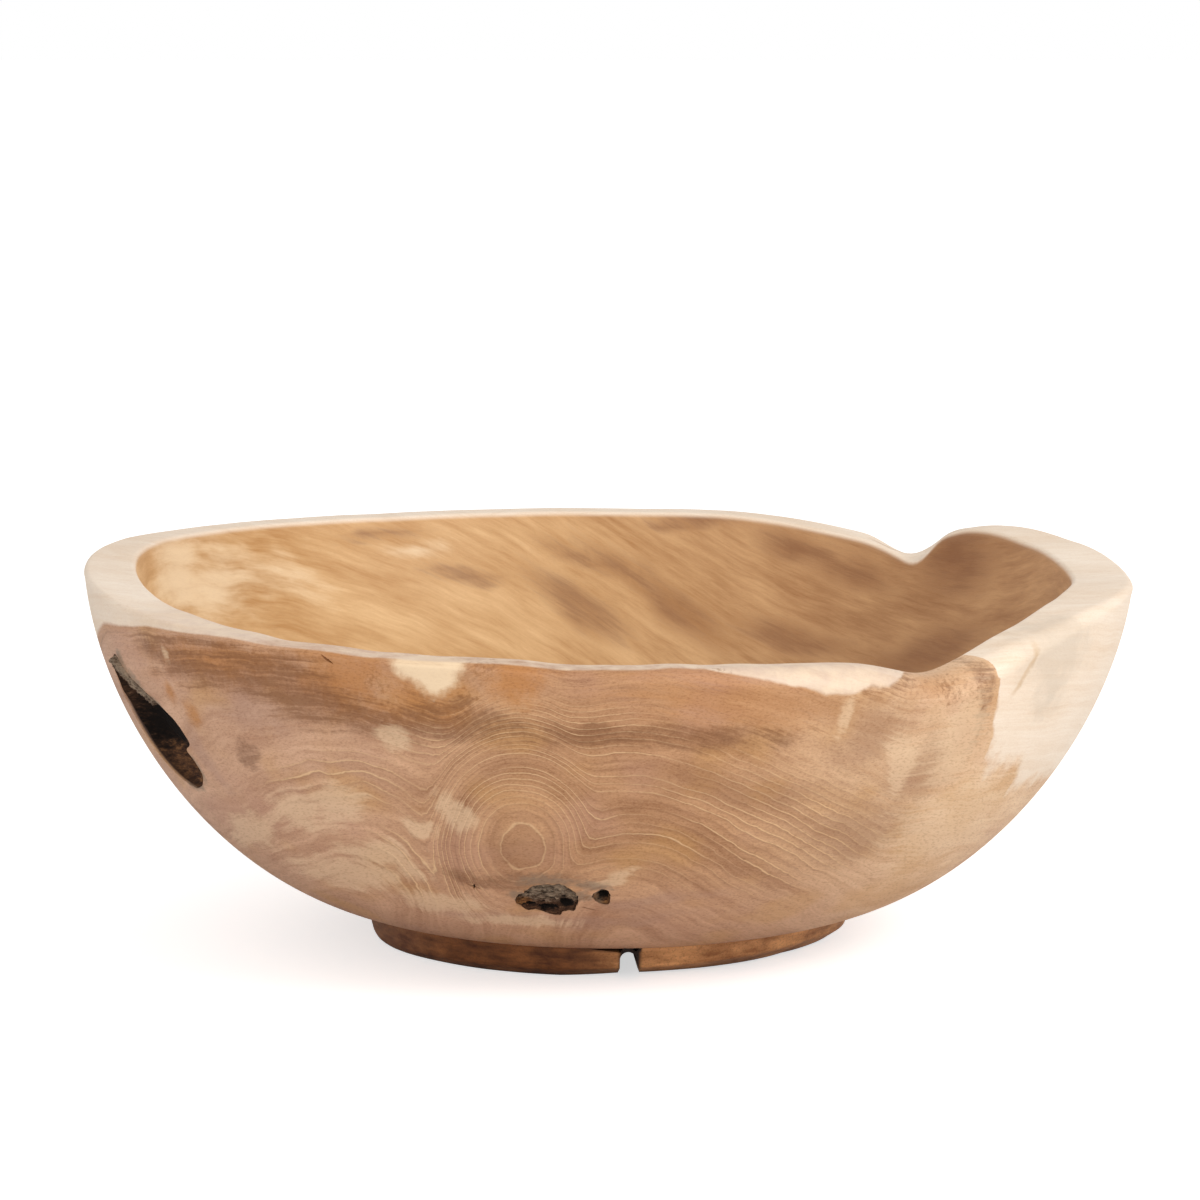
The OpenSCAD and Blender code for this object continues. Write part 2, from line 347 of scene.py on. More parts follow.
def cut(piece, cutter):
    """Takes the cutter's shape out of a piece."""
    hole = piece.modifiers.new("hole", "BOOLEAN")
    hole.object = cutter
    hole.solver = "EXACT"
    pick(piece)
    bpy.ops.object.modifier_apply(modifier=hole.name)
    bpy.data.objects.remove(cutter)


def hollow_ring(hollow, level):
    """One ring of a hollow's surface. A level is its depth, the mouth's share there and its shift."""
    levels = np.array(hollow["levels"], float)
    counted = np.arange(len(levels))
    depth, share, shift_x, shift_y = (np.interp(level, counted, column) for column in levels.T)
    mouth = hollow["mouth"] * share + [shift_x, shift_y]
    q = np.column_stack([mouth, np.full(len(mouth), -depth)])
    if depth > 0:
        q = q + hollow["rough"] * np.array([noise.noise_vector(Vector(r) / hollow["pitch"]) for r in q])
    return q


def cutter_of(hollow):
    """The solid that is cut out of the wall for a hollow."""
    rings = np.array([hollow_ring(hollow, i) for i in range(len(hollow["levels"]))])
    return loft("hollow_cutter", rings, on_wall(*hollow["middle"]))[0]


# The left hollow: a tall drop with a sharp edge that overhangs on the right
LEFT_MIDDLE = (206.5, 69.5)
LEFT_CORNERS = [
    (201.5, 88), (203.25, 85), (205.25, 82.4), (208.25, 79.8), (211.75, 76.3), (213.9, 72.7), (214.75, 69.2),
    (214.75, 66.8), (213.35, 64.4), (213.9, 61.5), (213.75, 57.5), (212, 54.4), (209.25, 52.5), (206, 53.4),
    (203.25, 56.2), (200.5, 61.9), (199.25, 68.3), (198.3, 74.5), (198.2, 80), (199, 85),
]
left_hollow = {
    "middle": LEFT_MIDDLE, "mouth": mouth_of(LEFT_MIDDLE, LEFT_CORNERS, count=160, nibbled=0.1),
    "rough": 0.35, "pitch": 5,
    "levels": [
        (-8, 1.06, 0, 0), (-0.4, 1.03, 0, 0), (0.5, 1, 0, 0), (2.5, 1, 0.6, -0.3), (5, 0.97, 0.8, -0.6),
        (7.5, 0.88, 0.6, -0.8), (9.5, 0.72, 0.3, -0.8), (11, 0.46, 0, -0.6), (11.5, 0.1, 0, -0.5)],
}

# The front pocket and the knot hole beside it, both small and ragged
POCKET_MIDDLE = (261.5, 30)
POCKET_CORNERS = [
    (256.8, 29.6), (258.4, 32.4), (259.8, 34.4), (261.8, 35.6), (264.2, 35.2), (265.6, 33), (266, 30.5),
    (265.5, 27), (263.6, 26), (262, 24.6), (259.8, 26.2), (257.8, 26.9),
]
pocket = {
    "middle": POCKET_MIDDLE, "mouth": mouth_of(POCKET_MIDDLE, POCKET_CORNERS, count=160, nibbled=0.5),
    "rough": 0.5, "pitch": 2.2,
    "levels": [
        (-3, 1.08, 0, 0), (-0.2, 1.02, 0, 0), (0.4, 0.98, 0, 0), (1.5, 0.97, 0, 0), (3, 0.9, 0, 0),
        (4.3, 0.7, 0, 0), (5.2, 0.4, 0, 0), (5.5, 0.1, 0, 0)],
}
KNOT_MIDDLE = (269, 31.5)
KNOT_CORNERS = [(267.8, 31.5), (268.3, 33), (269, 34), (270, 33.6), (270.3, 31.2), (270, 28.8), (268.9, 29.2)]
knot_hole = {
    "middle": KNOT_MIDDLE, "mouth": mouth_of(KNOT_MIDDLE, KNOT_CORNERS, count=80, nibbled=0.3),
    "rough": 0.25, "pitch": 1.6,
    "levels": [
        (-2, 1.08, 0, 0), (-0.1, 1.02, 0, 0), (0.3, 0.98, 0, 0), (1.4, 0.97, 0, 0), (2.6, 0.85, 0, 0),
        (3.6, 0.55, 0, 0), (4, 0.1, 0, 0)],
}

# Drying checks: thin slits with a bearing, height, turn and outline each, the first one a small star
SLIT = [(-2.2, 0), (0, 0.34), (2.2, 0), (0, -0.34)]
STAR = [(-2.5, 0), (-0.5, 0.5), (-0.5, 1.6), (0.3, 0.6), (2.5, 0.2), (0.5, -0.4), (0.7, -1.5), (-0.3, -0.5)]
CHECKS = [(251.8, 33.5, -35, STAR), (240.6, 97.2, -32, SLIT), (267.2, 27.4, -25, SLIT)]
CHECK_LEVELS = [(-0.8, 1.1, 0, 0), (0.35, 1, 0, 0), (1.3, 0.5, 0, 0)]
cutters = [cutter_of(left_hollow), cutter_of(pocket), cutter_of(knot_hole)]
for check_bearing, check_height, check_turn, check in CHECKS:
    mouth = smooth_loop(check, 24) @ np.array(Matrix.Rotation(math.radians(-check_turn), 2))
    cutters.append(cutter_of({
        "middle": (check_bearing, check_height), "mouth": mouth, "rough": 0, "pitch": 1,
        "levels": CHECK_LEVELS}))
pick(*cutters)
bpy.ops.object.join()
cut(shell, cutters[0])
smooth(shell, WOOD_CREASE)

# The growth rings, counted from the hearts of three roots that have grown together: a knot that points at the
# viewer, and a root on each side of it. Across is +X, and up is square to the grain from the wall's middle.
GRAIN_TILT = math.radians(9.5)
GRAIN_MIDDLE = 49.3
KNOT_HEART = (-22.8, -23.7)
KNOT_NARROW = 1.08
KNOT_SQUARE_PER_RING = 50
KNOT_HEART_SQUARE = 30
KNOT_HEART_REACH = 8
RIGHT_HEART = [(4, -52), (62, -82), (150, -72)]
RIGHT_START = (33.6, 7.4)
RIGHT_RINGS_PER_MM = 0.46
LEFT_HEART = [(-150, -72), (-71, -44.5)]
LEFT_START = (22.5, 10)
LEFT_RINGS_PER_MM = 0.33
RING_MELT = 1.1
# Above the hearts the rings run level, and come down from the left
TOP_START = 6
TOP_MELT = 5
TOP_RINGS_PER_MM = 0.75
TOP_LEFT_START = 45
TOP_LEFT_MELT = 8
TOP_LEFT_HALF = 20
TOP_LEFT_RINGS_PER_MM = 0.3


def away_from(across, up, line):
    """Distance from a bent line."""
    nearest = np.full(len(across), np.inf)
    for (ax, ay), (bx, by) in zip(line[:-1], line[1:]):
        t = ((across - ax) * (bx - ax) + (up - ay) * (by - ay)) / ((bx - ax)**2 + (by - ay)**2)
        t = np.clip(t, 0, 1)
        nearest = np.minimum(nearest, np.hypot(across - ax - t * (bx - ax), up - ay - t * (by - ay)))
    return nearest


def past(x, melt):
    """How far past 0 a value is, with a soft start."""
    return melt * np.logaddexp(0, x / melt)


def growth_rings(p):
    """How many rings out from the nearest heart each place is."""
    across = p[:, 0]
    up = p[:, 2] * math.cos(GRAIN_TILT) + p[:, 1] * math.sin(GRAIN_TILT) - GRAIN_MIDDLE
    over = past(up - TOP_START, TOP_MELT)
    up = up - over
    knot = ((across - KNOT_HEART[0]) * KNOT_NARROW)**2 + (up - KNOT_HEART[1])**2
    knot = knot / (KNOT_SQUARE_PER_RING - KNOT_HEART_SQUARE * np.exp(-knot / KNOT_HEART_REACH**2))
    right = RIGHT_START[1] + (away_from(across, up, RIGHT_HEART) - RIGHT_START[0]) * RIGHT_RINGS_PER_MM
    left = LEFT_START[1] + (away_from(across, up, LEFT_HEART) - LEFT_START[0]) * LEFT_RINGS_PER_MM
    hearts = -RING_MELT * np.logaddexp.reduce([-knot / RING_MELT, -right / RING_MELT, -left / RING_MELT])
    leftward = past(-TOP_LEFT_START - across, TOP_LEFT_MELT)
    from_left = TOP_LEFT_RINGS_PER_MM * leftward * over / (over + TOP_LEFT_HALF)
    return hearts + TOP_RINGS_PER_MM * over - from_left


def paint(piece, name, values):
    """Stores one number for each vertex, for the material to read."""
    layer = piece.data.attributes.new(name, "FLOAT", "POINT")
    layer.data.foreach_set("value", np.asarray(values, np.float32))


MARK_DEPTH = 14
NO_MARK = -9.0


def marks(p, spots, wall_at=wall_curve):
    """1 in the middle of the nearest mark, 0 on its edge and less outside it.
    A mark is its bearing and height on the wall, half its width and height, and its turn if it has one."""
    best = np.full(len(p), NO_MARK)
    for bearing, height, half_w, half_h, *turn in spots:
        q = carried(p, on_wall(bearing, height, wall_at).inverted())
        turn = math.radians(turn[0]) if turn else 0
        c, s = math.cos(turn), math.sin(turn)
        x, y = q[:, 0] * c + q[:, 1] * s, q[:, 1] * c - q[:, 0] * s
        off = np.sqrt((x / half_w)**2 + (y / half_h)**2 + (q[:, 2] / MARK_DEPTH)**2)
        best = np.maximum(best, 1 - off)
    return best


def ragged(p, far, pitch):
    """Places moved about a little, so that what is painted by them has a wandering edge."""
    return p + far * np.array([noise.noise_vector(Vector(q) / pitch) for q in p])


BASIN_START = 0.5
BASIN_BLEND = 1.2
HOLLOW_BELOW = 8
HOLLOW_EDGE = 0.45
FLOOR_SLACK = 1
p = places(shell)
bearing = bearings(p)
reach = np.hypot(p[:, 0], p[:, 1])
below_rim = rim_top(bearing) - p[:, 2]
wall = wall_curve(bearing)
wall_reach = curve(wall, rise_to(wall, p[:, 2]))[:, 0]
basin = basin_curve(bearing)
basin_reach = curve(basin, rise_to(basin, p[:, 2]))[:, 0]
inside = (p[:, 2] > floor_z - FLOOR_SLACK) & (np.abs(reach - basin_reach) < np.abs(reach - wall_reach))
below_inner = inner_top(bearing) - p[:, 2]
paint(shell, "basin", inside * np.clip((below_inner - BASIN_START) / BASIN_BLEND, 0, 1))
# How far each place lies in under the wall, in a hollow or a check, for the painted shade there
in_hollow = np.clip(wall_reach - reach - HOLLOW_EDGE, 0, None)
paint(shell, "hollow", np.where(inside | (below_rim < HOLLOW_BELOW), 0, in_hollow))

# The pale sapwood, by bearing: how far it comes down the wall from the rim, how soft its edge is, how much of
# a band leads over to it, and how tan it is
SAPWOOD = [
    (0, 52), (12, 47), (25, 34), (38, 16), (60, 6), (90, 3), (130, 4), (160, 8), (176, 15), (188, 21),
    (200, 9.5), (213, 3.5), (224, 0.8), (232, 0.1), (280, 0.1), (288, 4), (295, 7), (300, 5), (303.5, 0.6),
    (306, -1.5), (314.5, -1.5), (315.8, 12), (316.8, 20), (317.2, 26), (318.8, 33.5), (325.3, 36.5),
    (326.5, 41), (327.2, 46.5), (334, 49), (345, 52),
]
SAP_SOFT = [(280, 0.2), (290, 0.4), (302, 0.4), (310, 0.3), (314, 0.6), (322, 0.5), (330, 0.2)]
SAP_EDGE = [(0, 0), (150, 0.5), (170, 1), (230, 1), (240, 0.4), (285, 0.3), (300, 0.3), (312, 0)]
SAP_TAN = [(0, 0), (205, 0.1), (228, 0.6), (270, 0.6), (284, 0.6), (300, 0.55), (310, 0)]
SAP_SHARPEST = 0.8
SAP_INSIDE = 2
NO_SAP = -20
WAVY_FROM_X = 40
wavy = np.where(p[:, :1] > WAVY_FROM_X, ragged(ragged(p, 1.6, 9), 0.6, 3), p)
wavy_bearing = bearings(wavy)
sap_drop = np.interp(wavy_bearing, *zip(*SAPWOOD), period=360)
sap_soft = np.interp(bearing, *zip(*SAP_SOFT))
sap = (sap_drop - rim_top(wavy_bearing) + wavy[:, 2]) / (SAP_SHARPEST + sap_soft * np.maximum(sap_drop, 0))
paint(shell, "sapwood", np.where(inside & (below_inner > SAP_INSIDE), NO_SAP, sap))
paint(shell, "sap_edge", np.interp(bearing, *zip(*SAP_EDGE)))
paint(shell, "sap_tan", np.interp(bearing, *zip(*SAP_TAN)))

# Stains and flecks on the wall: each is painted on places that wander more or less, for a ragged edge
stained = ragged(ragged(p, 4, 17), 2, 6)
weathered = ragged(p, 1.5, 8)
for name, at, spots in (
        ("cream", ragged(ragged(p, 1.6, 8), 0.8, 3), [(251.7, 98.5, 11.5, 6.5), (252.3, 94.8, 7.2, 7)]),
        ("halo", stained, [
            (242, 95, 17, 9), (260.5, 96, 8, 7), (250, 87.5, 16, 6), (226, 94, 26, 6, 2),
            (215.2, 81, 3.5, 3), (218, 77, 3, 4)]),
        ("warm", stained, [
            (285, 89, 34, 8, -3), (308, 88, 15, 8), (314, 78, 9, 15), (220, 92, 32, 7),
            (236, 88, 26, 7, -10)]),
        ("shade", stained, [
            (299, 77, 13, 11, 20), (308, 64, 11, 12), (302, 48, 18, 11), (285, 63, 26, 6, -12),
            (259.5, 46.5, 7, 6)]),
        ("mauve", stained, [
            (217.3, 63, 3.5, 10, 12), (228, 79, 14, 5), (262, 22, 34, 4), (276, 30, 16, 4, 10)]),
        ("dust", ragged(p, 1, 3), [
            (203.5, 86.5, 3, 3, -34), (206.5, 81.5, 6, 2, -34), (211, 77, 5, 1.3, -34),
            (261.8, 36.3, 9, 3), (266.3, 31.6, 3.5, 2.4), (210, 53.2, 6, 2, 10), (213.8, 59, 2, 5),
            (267.5, 35.3, 6, 1.7, -8), (257.6, 31.5, 2.5, 2.5)]),
        ("specks", p, [
            (257.6, 97, 5.5, 4), (255.8, 90, 4, 4), (281.5, 96, 6, 2), (303, 91, 4, 4),
            (308.5, 87, 12, 7, -15), (313.5, 86, 4, 9, 15), (266.6, 31, 4, 3), (246, 92, 8, 5)]),
        ("pale", stained, [
            (230, 52, 15, 7, 20), (236.5, 57, 11, 5, 10), (239, 43, 13, 6, 15), (252.2, 57, 5, 7, 20),
            (248, 51, 4.5, 4), (247.2, 77.3, 5, 5), (268.8, 36.8, 2.4, 2), (271, 39, 5, 2.4, 20),
            (256, 21, 18, 3.5), (295.3, 84, 2.5, 6, -25), (304, 68, 4, 11, 25), (312, 72, 9, 14),
            (318, 44, 26, 16), (234, 34, 26, 8, 12), (246, 27, 14, 6), (217, 92.5, 2.5, 3),
            (218, 42, 20, 7, 20)])):
    paint(shell, name, marks(at, spots))

# Dark streaks run left from the middle of the front, and are weaker to the right of it
STREAK_MOST = [(250, 0.4), (262, 0.18)]
streaks = marks(stained, [
    (236, 87.5, 40, 8, -12), (252, 82.5, 30, 5, -5), (268, 79.5, 28, 2.6), (219, 92, 28, 6, -6),
    (258, 37, 20, 3.5), (226, 68.3, 4.5, 3, 40), (254.3, 88, 3.5, 1.5), (282, 77.5, 18, 3.5, 4),
    (313.8, 84, 2.5, 12, 10), (300, 90, 8, 3, 5)])
paint(shell, "dark_streaks", np.minimum(np.interp(bearing, *zip(*STREAK_MOST)), streaks))

# A grey weathered patch on the right, weaker in its lower half
GREY_LESS = 0.25
upper_grey, lower_grey = marks(weathered, [(325.5, 93, 19, 12)]), marks(weathered, [(326, 83, 15, 13)])
paint(shell, "grey", np.maximum(upper_grey, lower_grey - GREY_LESS))

# The brown vein runs straight down the wall beside it: how far off it each place is, and where it fades out
VEIN = [(321.5, 96.4), (317.8, 82.1)]
VEIN_MIDDLE = (319.6, 89.5)
VEIN_FADE = 3
VEIN_WANDER = 2
flat = on_wall(*VEIN_MIDDLE).inverted()
vein_top, vein_end = (np.array(flat @ on_wall(*end).translation)[:2] for end in VEIN)
vein_l = np.linalg.norm(vein_end - vein_top)
vein_way = (vein_end - vein_top) / vein_l
q = carried(p, flat)
along = (q[:, :2] - vein_top) @ vein_way
on_vein = np.clip(np.minimum(along, vein_l - along) / VEIN_FADE, 0, 1) * (np.abs(q[:, 2]) < MARK_DEPTH)
off_vein = (q[:, 0] - vein_top[0]) * vein_way[1] - (q[:, 1] - vein_top[1]) * vein_way[0]
paint(shell, "vein", off_vein - VEIN_WANDER / 2)
paint(shell, "along_vein", on_vein)

# The basin's dark streaks, of which two are darker than the others, and its light wood on the left
BASIN_DARK_MOST = 0.55
basin_stained = ragged(ragged(p, 3.5, 22), 1, 7)
basin_dark = marks(basin_stained, [
    (93, 90, 15, 3, 30), (87, 85, 18, 4, 37), (80, 77, 20, 6, 40), (94, 77, 20, 5, 38), (79, 102, 14, 2.2),
    (63, 97, 16, 4, 10), (55, 90.5, 14, 4, 12), (37, 99, 19, 12), (34, 71, 24, 8, -20),
    (62, 70, 20, 5, 10), (111, 88.7, 14, 3, 5), (122, 101, 16, 2.2)], basin_curve)
darkest = marks(basin_stained, [(38, 100, 15, 9), (63.5, 98, 13, 3, 8)], basin_curve)
paint(shell, "basin_dark", np.maximum(np.minimum(BASIN_DARK_MOST, basin_dark), darkest))
paint(shell, "basin_light", marks(basin_stained, [
    (150, 93, 38, 14), (161, 98, 23, 13), (117, 96, 13, 3)], basin_curve))

# The basin's strokes: as they go right they fall, then level out, and rise again up the right side
STROKE_FALL = [(-150, 0.2), (-60, 0.45), (0, 0.65), (40, 0.5), (80, 0.25), (105, 0), (125, -0.7), (150, -1.3)]
step_x = np.arange(STROKE_FALL[0][0], STROKE_FALL[-1][0] + 1)
fallen = np.cumsum(np.interp(step_x, *zip(*STROKE_FALL)))
paint(shell, "strokes", p[:, 2] + np.interp(p[:, 0], step_x, fallen))

# The ring lines show round the knot, most of all in a bundle that arches over it, and on the roots beside it
BUNDLE_RING = 10
BUNDLE_HALF = 2.5
BUNDLE_SHARE = 0.35
BESIDE_SHARE = 0.85
rings = growth_rings(p)
near_knot = np.clip(2 * marks(p, [(259.5, 52, 40, 32)]), 0, 1) * np.clip(2 * rings - 1, 0, 1)
beside = np.clip(2 * marks(p, [
    (288, 50, 58, 30, -15), (246, 38, 22, 22), (262, 76, 50, 16), (238, 62, 30, 12, 15)]), 0, 1)
bundle = 1 - BUNDLE_SHARE + BUNDLE_SHARE * np.exp(-((rings - BUNDLE_RING) / BUNDLE_HALF)**2)
paint(shell, "rings", rings)
paint(shell, "lines", np.maximum(BESIDE_SHARE * beside, near_knot * bundle))


def linear(colour):
    """A hex colour as the light it stands for, with an alpha of 1."""
    parts = [int(colour[i:i + 2], 16) / 255 for i in (1, 3, 5)]
    return [c / 12.92 if c <= 0.04045 else ((c + 0.055) / 1.055)**2.4 for c in parts] + [1]


def add_node(tree, kind, settings, inputs, output=0):
    """Adds a node and gives one of its outputs. An input is a constant, a hex colour or a socket."""
    made = tree.nodes.new("ShaderNode" + kind)
    for name, value in settings.items():
        setattr(made, name, value)
    for name, value in inputs.items():
        if isinstance(value, bpy.types.NodeSocket):
            tree.links.new(value, made.inputs[name])
        else:
            made.inputs[name].default_value = linear(value) if isinstance(value, str) else value
    return made.outputs[output]


def per_mm(pitch):
    """The scale of a texture whose features are that many millimetres across."""
    return 1 / (pitch * MM)


def new_material(name):
    """A new material, and the node tree of its look."""
    made = bpy.data.materials.new(name)
    made.use_nodes = True
    return made, made.node_tree


# Teak root, sanded and oiled: a satin brown with light ring lines of soft tissue, dark pores in rows, pale
# sapwood towards the rim and stains where bark had grown in
teak, tree = new_material("oiled_teak_root")
bsdf = tree.nodes["Principled BSDF"]
SOFT_STEP = {"interpolation_type": "SMOOTHSTEP"}
COLOURS = {"data_type": "RGBA"}
TIMES = {"operation": "MULTIPLY"}
TIMES_PLUS = {"operation": "MULTIPLY_ADD"}
painted = {
    name: add_node(tree, "Attribute", {"attribute_name": name}, {}, "Fac")
    for name in (
        "rings", "lines", "sapwood", "sap_edge", "sap_tan", "basin", "hollow", "cream", "halo", "warm",
        "dark_streaks", "shade", "mauve", "dust", "specks", "pale", "grey", "vein", "along_vein", "strokes",
        "basin_dark", "basin_light")}
here = add_node(tree, "TexCoord", {}, {}, "Object")
across = add_node(tree, "SeparateXYZ", {}, {0: here}, "X")
height = add_node(tree, "SeparateXYZ", {}, {0: here}, "Z")
grain = add_node(tree, "Mapping", {}, {"Vector": here, "Rotation": (GRAIN_TILT, 0, 0)})

# The rings and the basin's strokes wander, and waver on the way: how far, in rings and in millimetres
RINGS_WANDER = 1.8
RINGS_WAVER = 0.5
STROKES_WANDER = 3
STROKES_WAVER = 0.2
wander = add_node(tree, "TexNoise", {}, {"Vector": grain, "Scale": per_mm(20), "Detail": 1}, "Fac")
waver = add_node(tree, "TexNoise", {}, {"Vector": grain, "Scale": per_mm(5), "Detail": 2}, "Fac")
rings = add_node(tree, "Math", TIMES_PLUS, {0: wander, 1: RINGS_WANDER, 2: painted["rings"]})
rings = add_node(tree, "Math", TIMES_PLUS, {0: waver, 1: RINGS_WAVER, 2: rings})
rings = add_node(tree, "Math", {"operation": "SUBTRACT"}, {0: rings, 1: (RINGS_WANDER + RINGS_WAVER) / 2})
strokes = add_node(tree, "Math", TIMES_PLUS, {0: wander, 1: STROKES_WANDER, 2: painted["strokes"]})
strokes = add_node(tree, "Math", TIMES_PLUS, {0: waver, 1: STROKES_WAVER, 2: strokes})

# Each pattern is a noise that is stretched along X, Y and Z and may follow the rings or the basin's strokes:
# what it follows, its stretch, its size in millimetres, how many come in a ring or a millimetre, its detail
NOISE_LOW = 0.32
NOISE_HIGH = 0.68
pattern = {}
for name, field, stretch, size, rate, detail in (
        ("streak", rings, (1, 0.2, 1), 42, 0.32, 5),
        ("ring_by_ring", rings, (1, 0.2, 1), 70, 0.6, 1),
        ("fibre", rings, (1, 0.2, 1), 22, 1.4, 4),
        ("hair", rings, (1, 0.2, 1), 10, 3, 3),
        ("pore", rings, (0.4, 0.15, 1), 0.4, 0, 1),
        ("grit", rings, (0.7, 0.7, 1), 0.42, 0, 1),
        ("sanding", rings, (0.1, 0.1, 1), 1.6, 0, 3),
        ("cloud", rings, (0.8, 0.8, 1.5), 26, 0, 4),
        ("warmth", rings, (1, 1, 1.5), 34, 0, 2),
        ("blots", rings, (1, 1, 1), 6, 0, 5),
        ("speck", rings, (1, 1, 0.8), 1.5, 0, 5),
        ("basin_cloud", strokes, (1, 1, 1), 38, 0.1, 4),
        ("brush", strokes, (1, 1, 1), 24, 0.45, 4),
        ("bristle", strokes, (1, 1, 1), 9, 1.5, 4)):
    vector = add_node(tree, "VectorMath", TIMES, {0: grain, 1: stretch})
    along = add_node(tree, "Math", TIMES, {0: field, 1: rate / per_mm(size)})
    noisy = add_node(tree, "TexNoise", {"noise_dimensions": "4D"}, {
        "Vector": vector, "W": along, "Scale": per_mm(size), "Detail": detail, "Roughness": 0.6}, "Fac")
    pattern[name] = add_node(tree, "MapRange", {}, {
        "Value": noisy, "From Min": NOISE_LOW, "From Max": NOISE_HIGH})


def lay_over(tree, colour, tint, value, start, full, most=1):
    """Lays a tint over a colour, more of it as a value goes from start to full, and gives its mask too."""
    mask = add_node(tree, "MapRange", SOFT_STEP, {
        "Value": value, "From Min": start, "From Max": full, "To Max": most})
    return add_node(tree, "Mix", COLOURS, {0: mask, 6: colour, 7: tint}, 2), mask


# Heartwood: streaks, fibres and clouds of brown, pinker low down and on the left, and lighter on the right
tone = pattern["streak"]
for name, times in (("fibre", 0.6), ("cloud", 0.6), ("sanding", 0.3), ("hair", 0.55), ("grit", 0.4)):
    tone = add_node(tree, "Math", TIMES_PLUS, {0: pattern[name], 1: times, 2: tone})
tone = add_node(tree, "MapRange", {}, {"Value": tone, "From Min": 0.6, "From Max": 2.75})
colour = add_node(tree, "Mix", COLOURS, {0: tone, 6: "#946440", 7: "#D7A67B"}, 2)
for place, start, end, most, dark, light in (
        (height, 46, 20, 0.8, "#A87656", "#DFB190"), (across, -10, -95, 1, "#A67657", "#DFB494"),
        (across, 20, 110, 1, "#CB9C72", "#F7D8B3")):
    wood = add_node(tree, "Mix", COLOURS, {0: tone, 6: dark, 7: light}, 2)
    colour, _ = lay_over(tree, colour, wood, place, start * MM, end * MM, most)
for start, end, most, tint in ((0.55, 0.95, 0.45, "#C9975C"), (0.45, 0.05, 0.35, "#C0917A")):
    colour, _ = lay_over(tree, colour, tint, pattern["warmth"], start, end, most)

# Each year's growth darkens towards its end, and the next one starts with a light line
in_ring = add_node(tree, "Math", {"operation": "FRACT"}, {0: rings})
late = add_node(tree, "MapRange", SOFT_STEP, {
    "Value": in_ring, "From Min": 0.45, "From Max": 0.95, "To Max": 0.32})
from_line = add_node(tree, "Math", {"operation": "PINGPONG"}, {0: rings, 1: 0.5})
line = add_node(tree, "MapRange", SOFT_STEP, {
    "Value": from_line, "From Min": 0.11, "From Max": 0.02})
bold = add_node(tree, "MapRange", SOFT_STEP, {
    "Value": pattern["ring_by_ring"], "From Min": 0.1, "From Max": 0.6})
line = add_node(tree, "Math", TIMES, {0: line, 1: bold})
for share, tint in ((late, "#85573A"), (line, "#E2BB8E")):
    share = add_node(tree, "Math", TIMES, {0: share, 1: painted["lines"]})
    colour = add_node(tree, "Mix", COLOURS, {0: share, 6: colour, 7: tint}, 2)


def lay_stains(colour, stains):
    """Lays painted marks over the colour, and gives the last one's mask too. Patterns break a mark up:
    a stain is its mark, its colour, how much of each pattern, where it starts and is full, and its most."""
    for name, stain, broken, start, full, most in stains:
        edge = painted[name]
        for part, times in broken.items():
            edge = add_node(tree, "Math", TIMES_PLUS, {0: pattern[part], 1: times, 2: edge})
        colour, mask = lay_over(tree, colour, stain, edge, start, full, most)
    return colour, mask


colour, bare_cream = lay_stains(colour, (
    ("shade", "#8C5F40", {"fibre": 0.7, "hair": 0.3, "blots": 0.4, "speck": 0.3}, 0.27, 1.67, 0.42),
    ("mauve", "#A98473", {"sanding": 0.6, "blots": 0.4, "hair": 0.3}, 0.07, 1.47, 0.4),
    ("warm", "#B07338", {"fibre": 0.8, "hair": 0.5, "blots": 0.4}, 0.27, 1.67, 0.42),
    ("halo", "#B9793A", {"speck": 0.4, "blots": 0.7, "fibre": 0.3}, 0.07, 1.57, 0.72),
    ("dark_streaks", "#6E4120", {"fibre": 0.8, "hair": 0.6, "speck": 0.35}, 0.495, 1.495, 0.62),
    ("pale", "#E6C5A0", {"fibre": 0.5, "hair": 0.5, "blots": 0.5}, 0.47, 1.27, 0.58),
    ("dust", "#8B745F", {"speck": 0.5, "sanding": 0.7}, 0.22, 1.22, 0.75),
    ("cream", "#F0D3AE", {"blots": 0.3, "speck": 0.15}, 0.095, 0.595, 1)))

# Sapwood: a soft orange band and a thin dark line lead over to it on the left
plain = add_node(tree, "MapRange", {}, {"Value": painted["sap_edge"], "To Min": 0.4, "To Max": 0.12})
edge = add_node(tree, "Math", TIMES_PLUS, {0: pattern["blots"], 1: plain, 2: painted["sapwood"]})
for level, reach, most, tint in ((-0.35, 1.1, 0.6, "#B07A42"), (-0.75, 0.16, 0.5, "#6B4028")):
    off = add_node(tree, "Math", {"operation": "SUBTRACT"}, {0: edge, 1: level})
    off = add_node(tree, "Math", {"operation": "ABSOLUTE"}, {0: off})
    band = add_node(tree, "MapRange", SOFT_STEP, {
        "Value": off, "From Min": reach, "From Max": 0.1 * reach, "To Max": most})
    band = add_node(tree, "Math", TIMES, {0: band, 1: painted["sap_edge"]})
    band = add_node(tree, "Math", TIMES, {0: band, 1: pattern["fibre"]})
    colour = add_node(tree, "Mix", COLOURS, {0: band, 6: colour, 7: tint}, 2)
sap_tone = add_node(tree, "Mix", COLOURS, {0: tone, 6: "#E6CBAE", 7: "#F8E8D5"}, 2)
tan_tone = add_node(tree, "Mix", COLOURS, {0: pattern["blots"], 6: "#C3A08A", 7: "#E8CBA9"}, 2)
sap_tone = add_node(tree, "Mix", COLOURS, {0: painted["sap_tan"], 6: sap_tone, 7: tan_tone}, 2)
colour, sapwood = lay_over(tree, colour, sap_tone, edge, -0.1, 0.45)

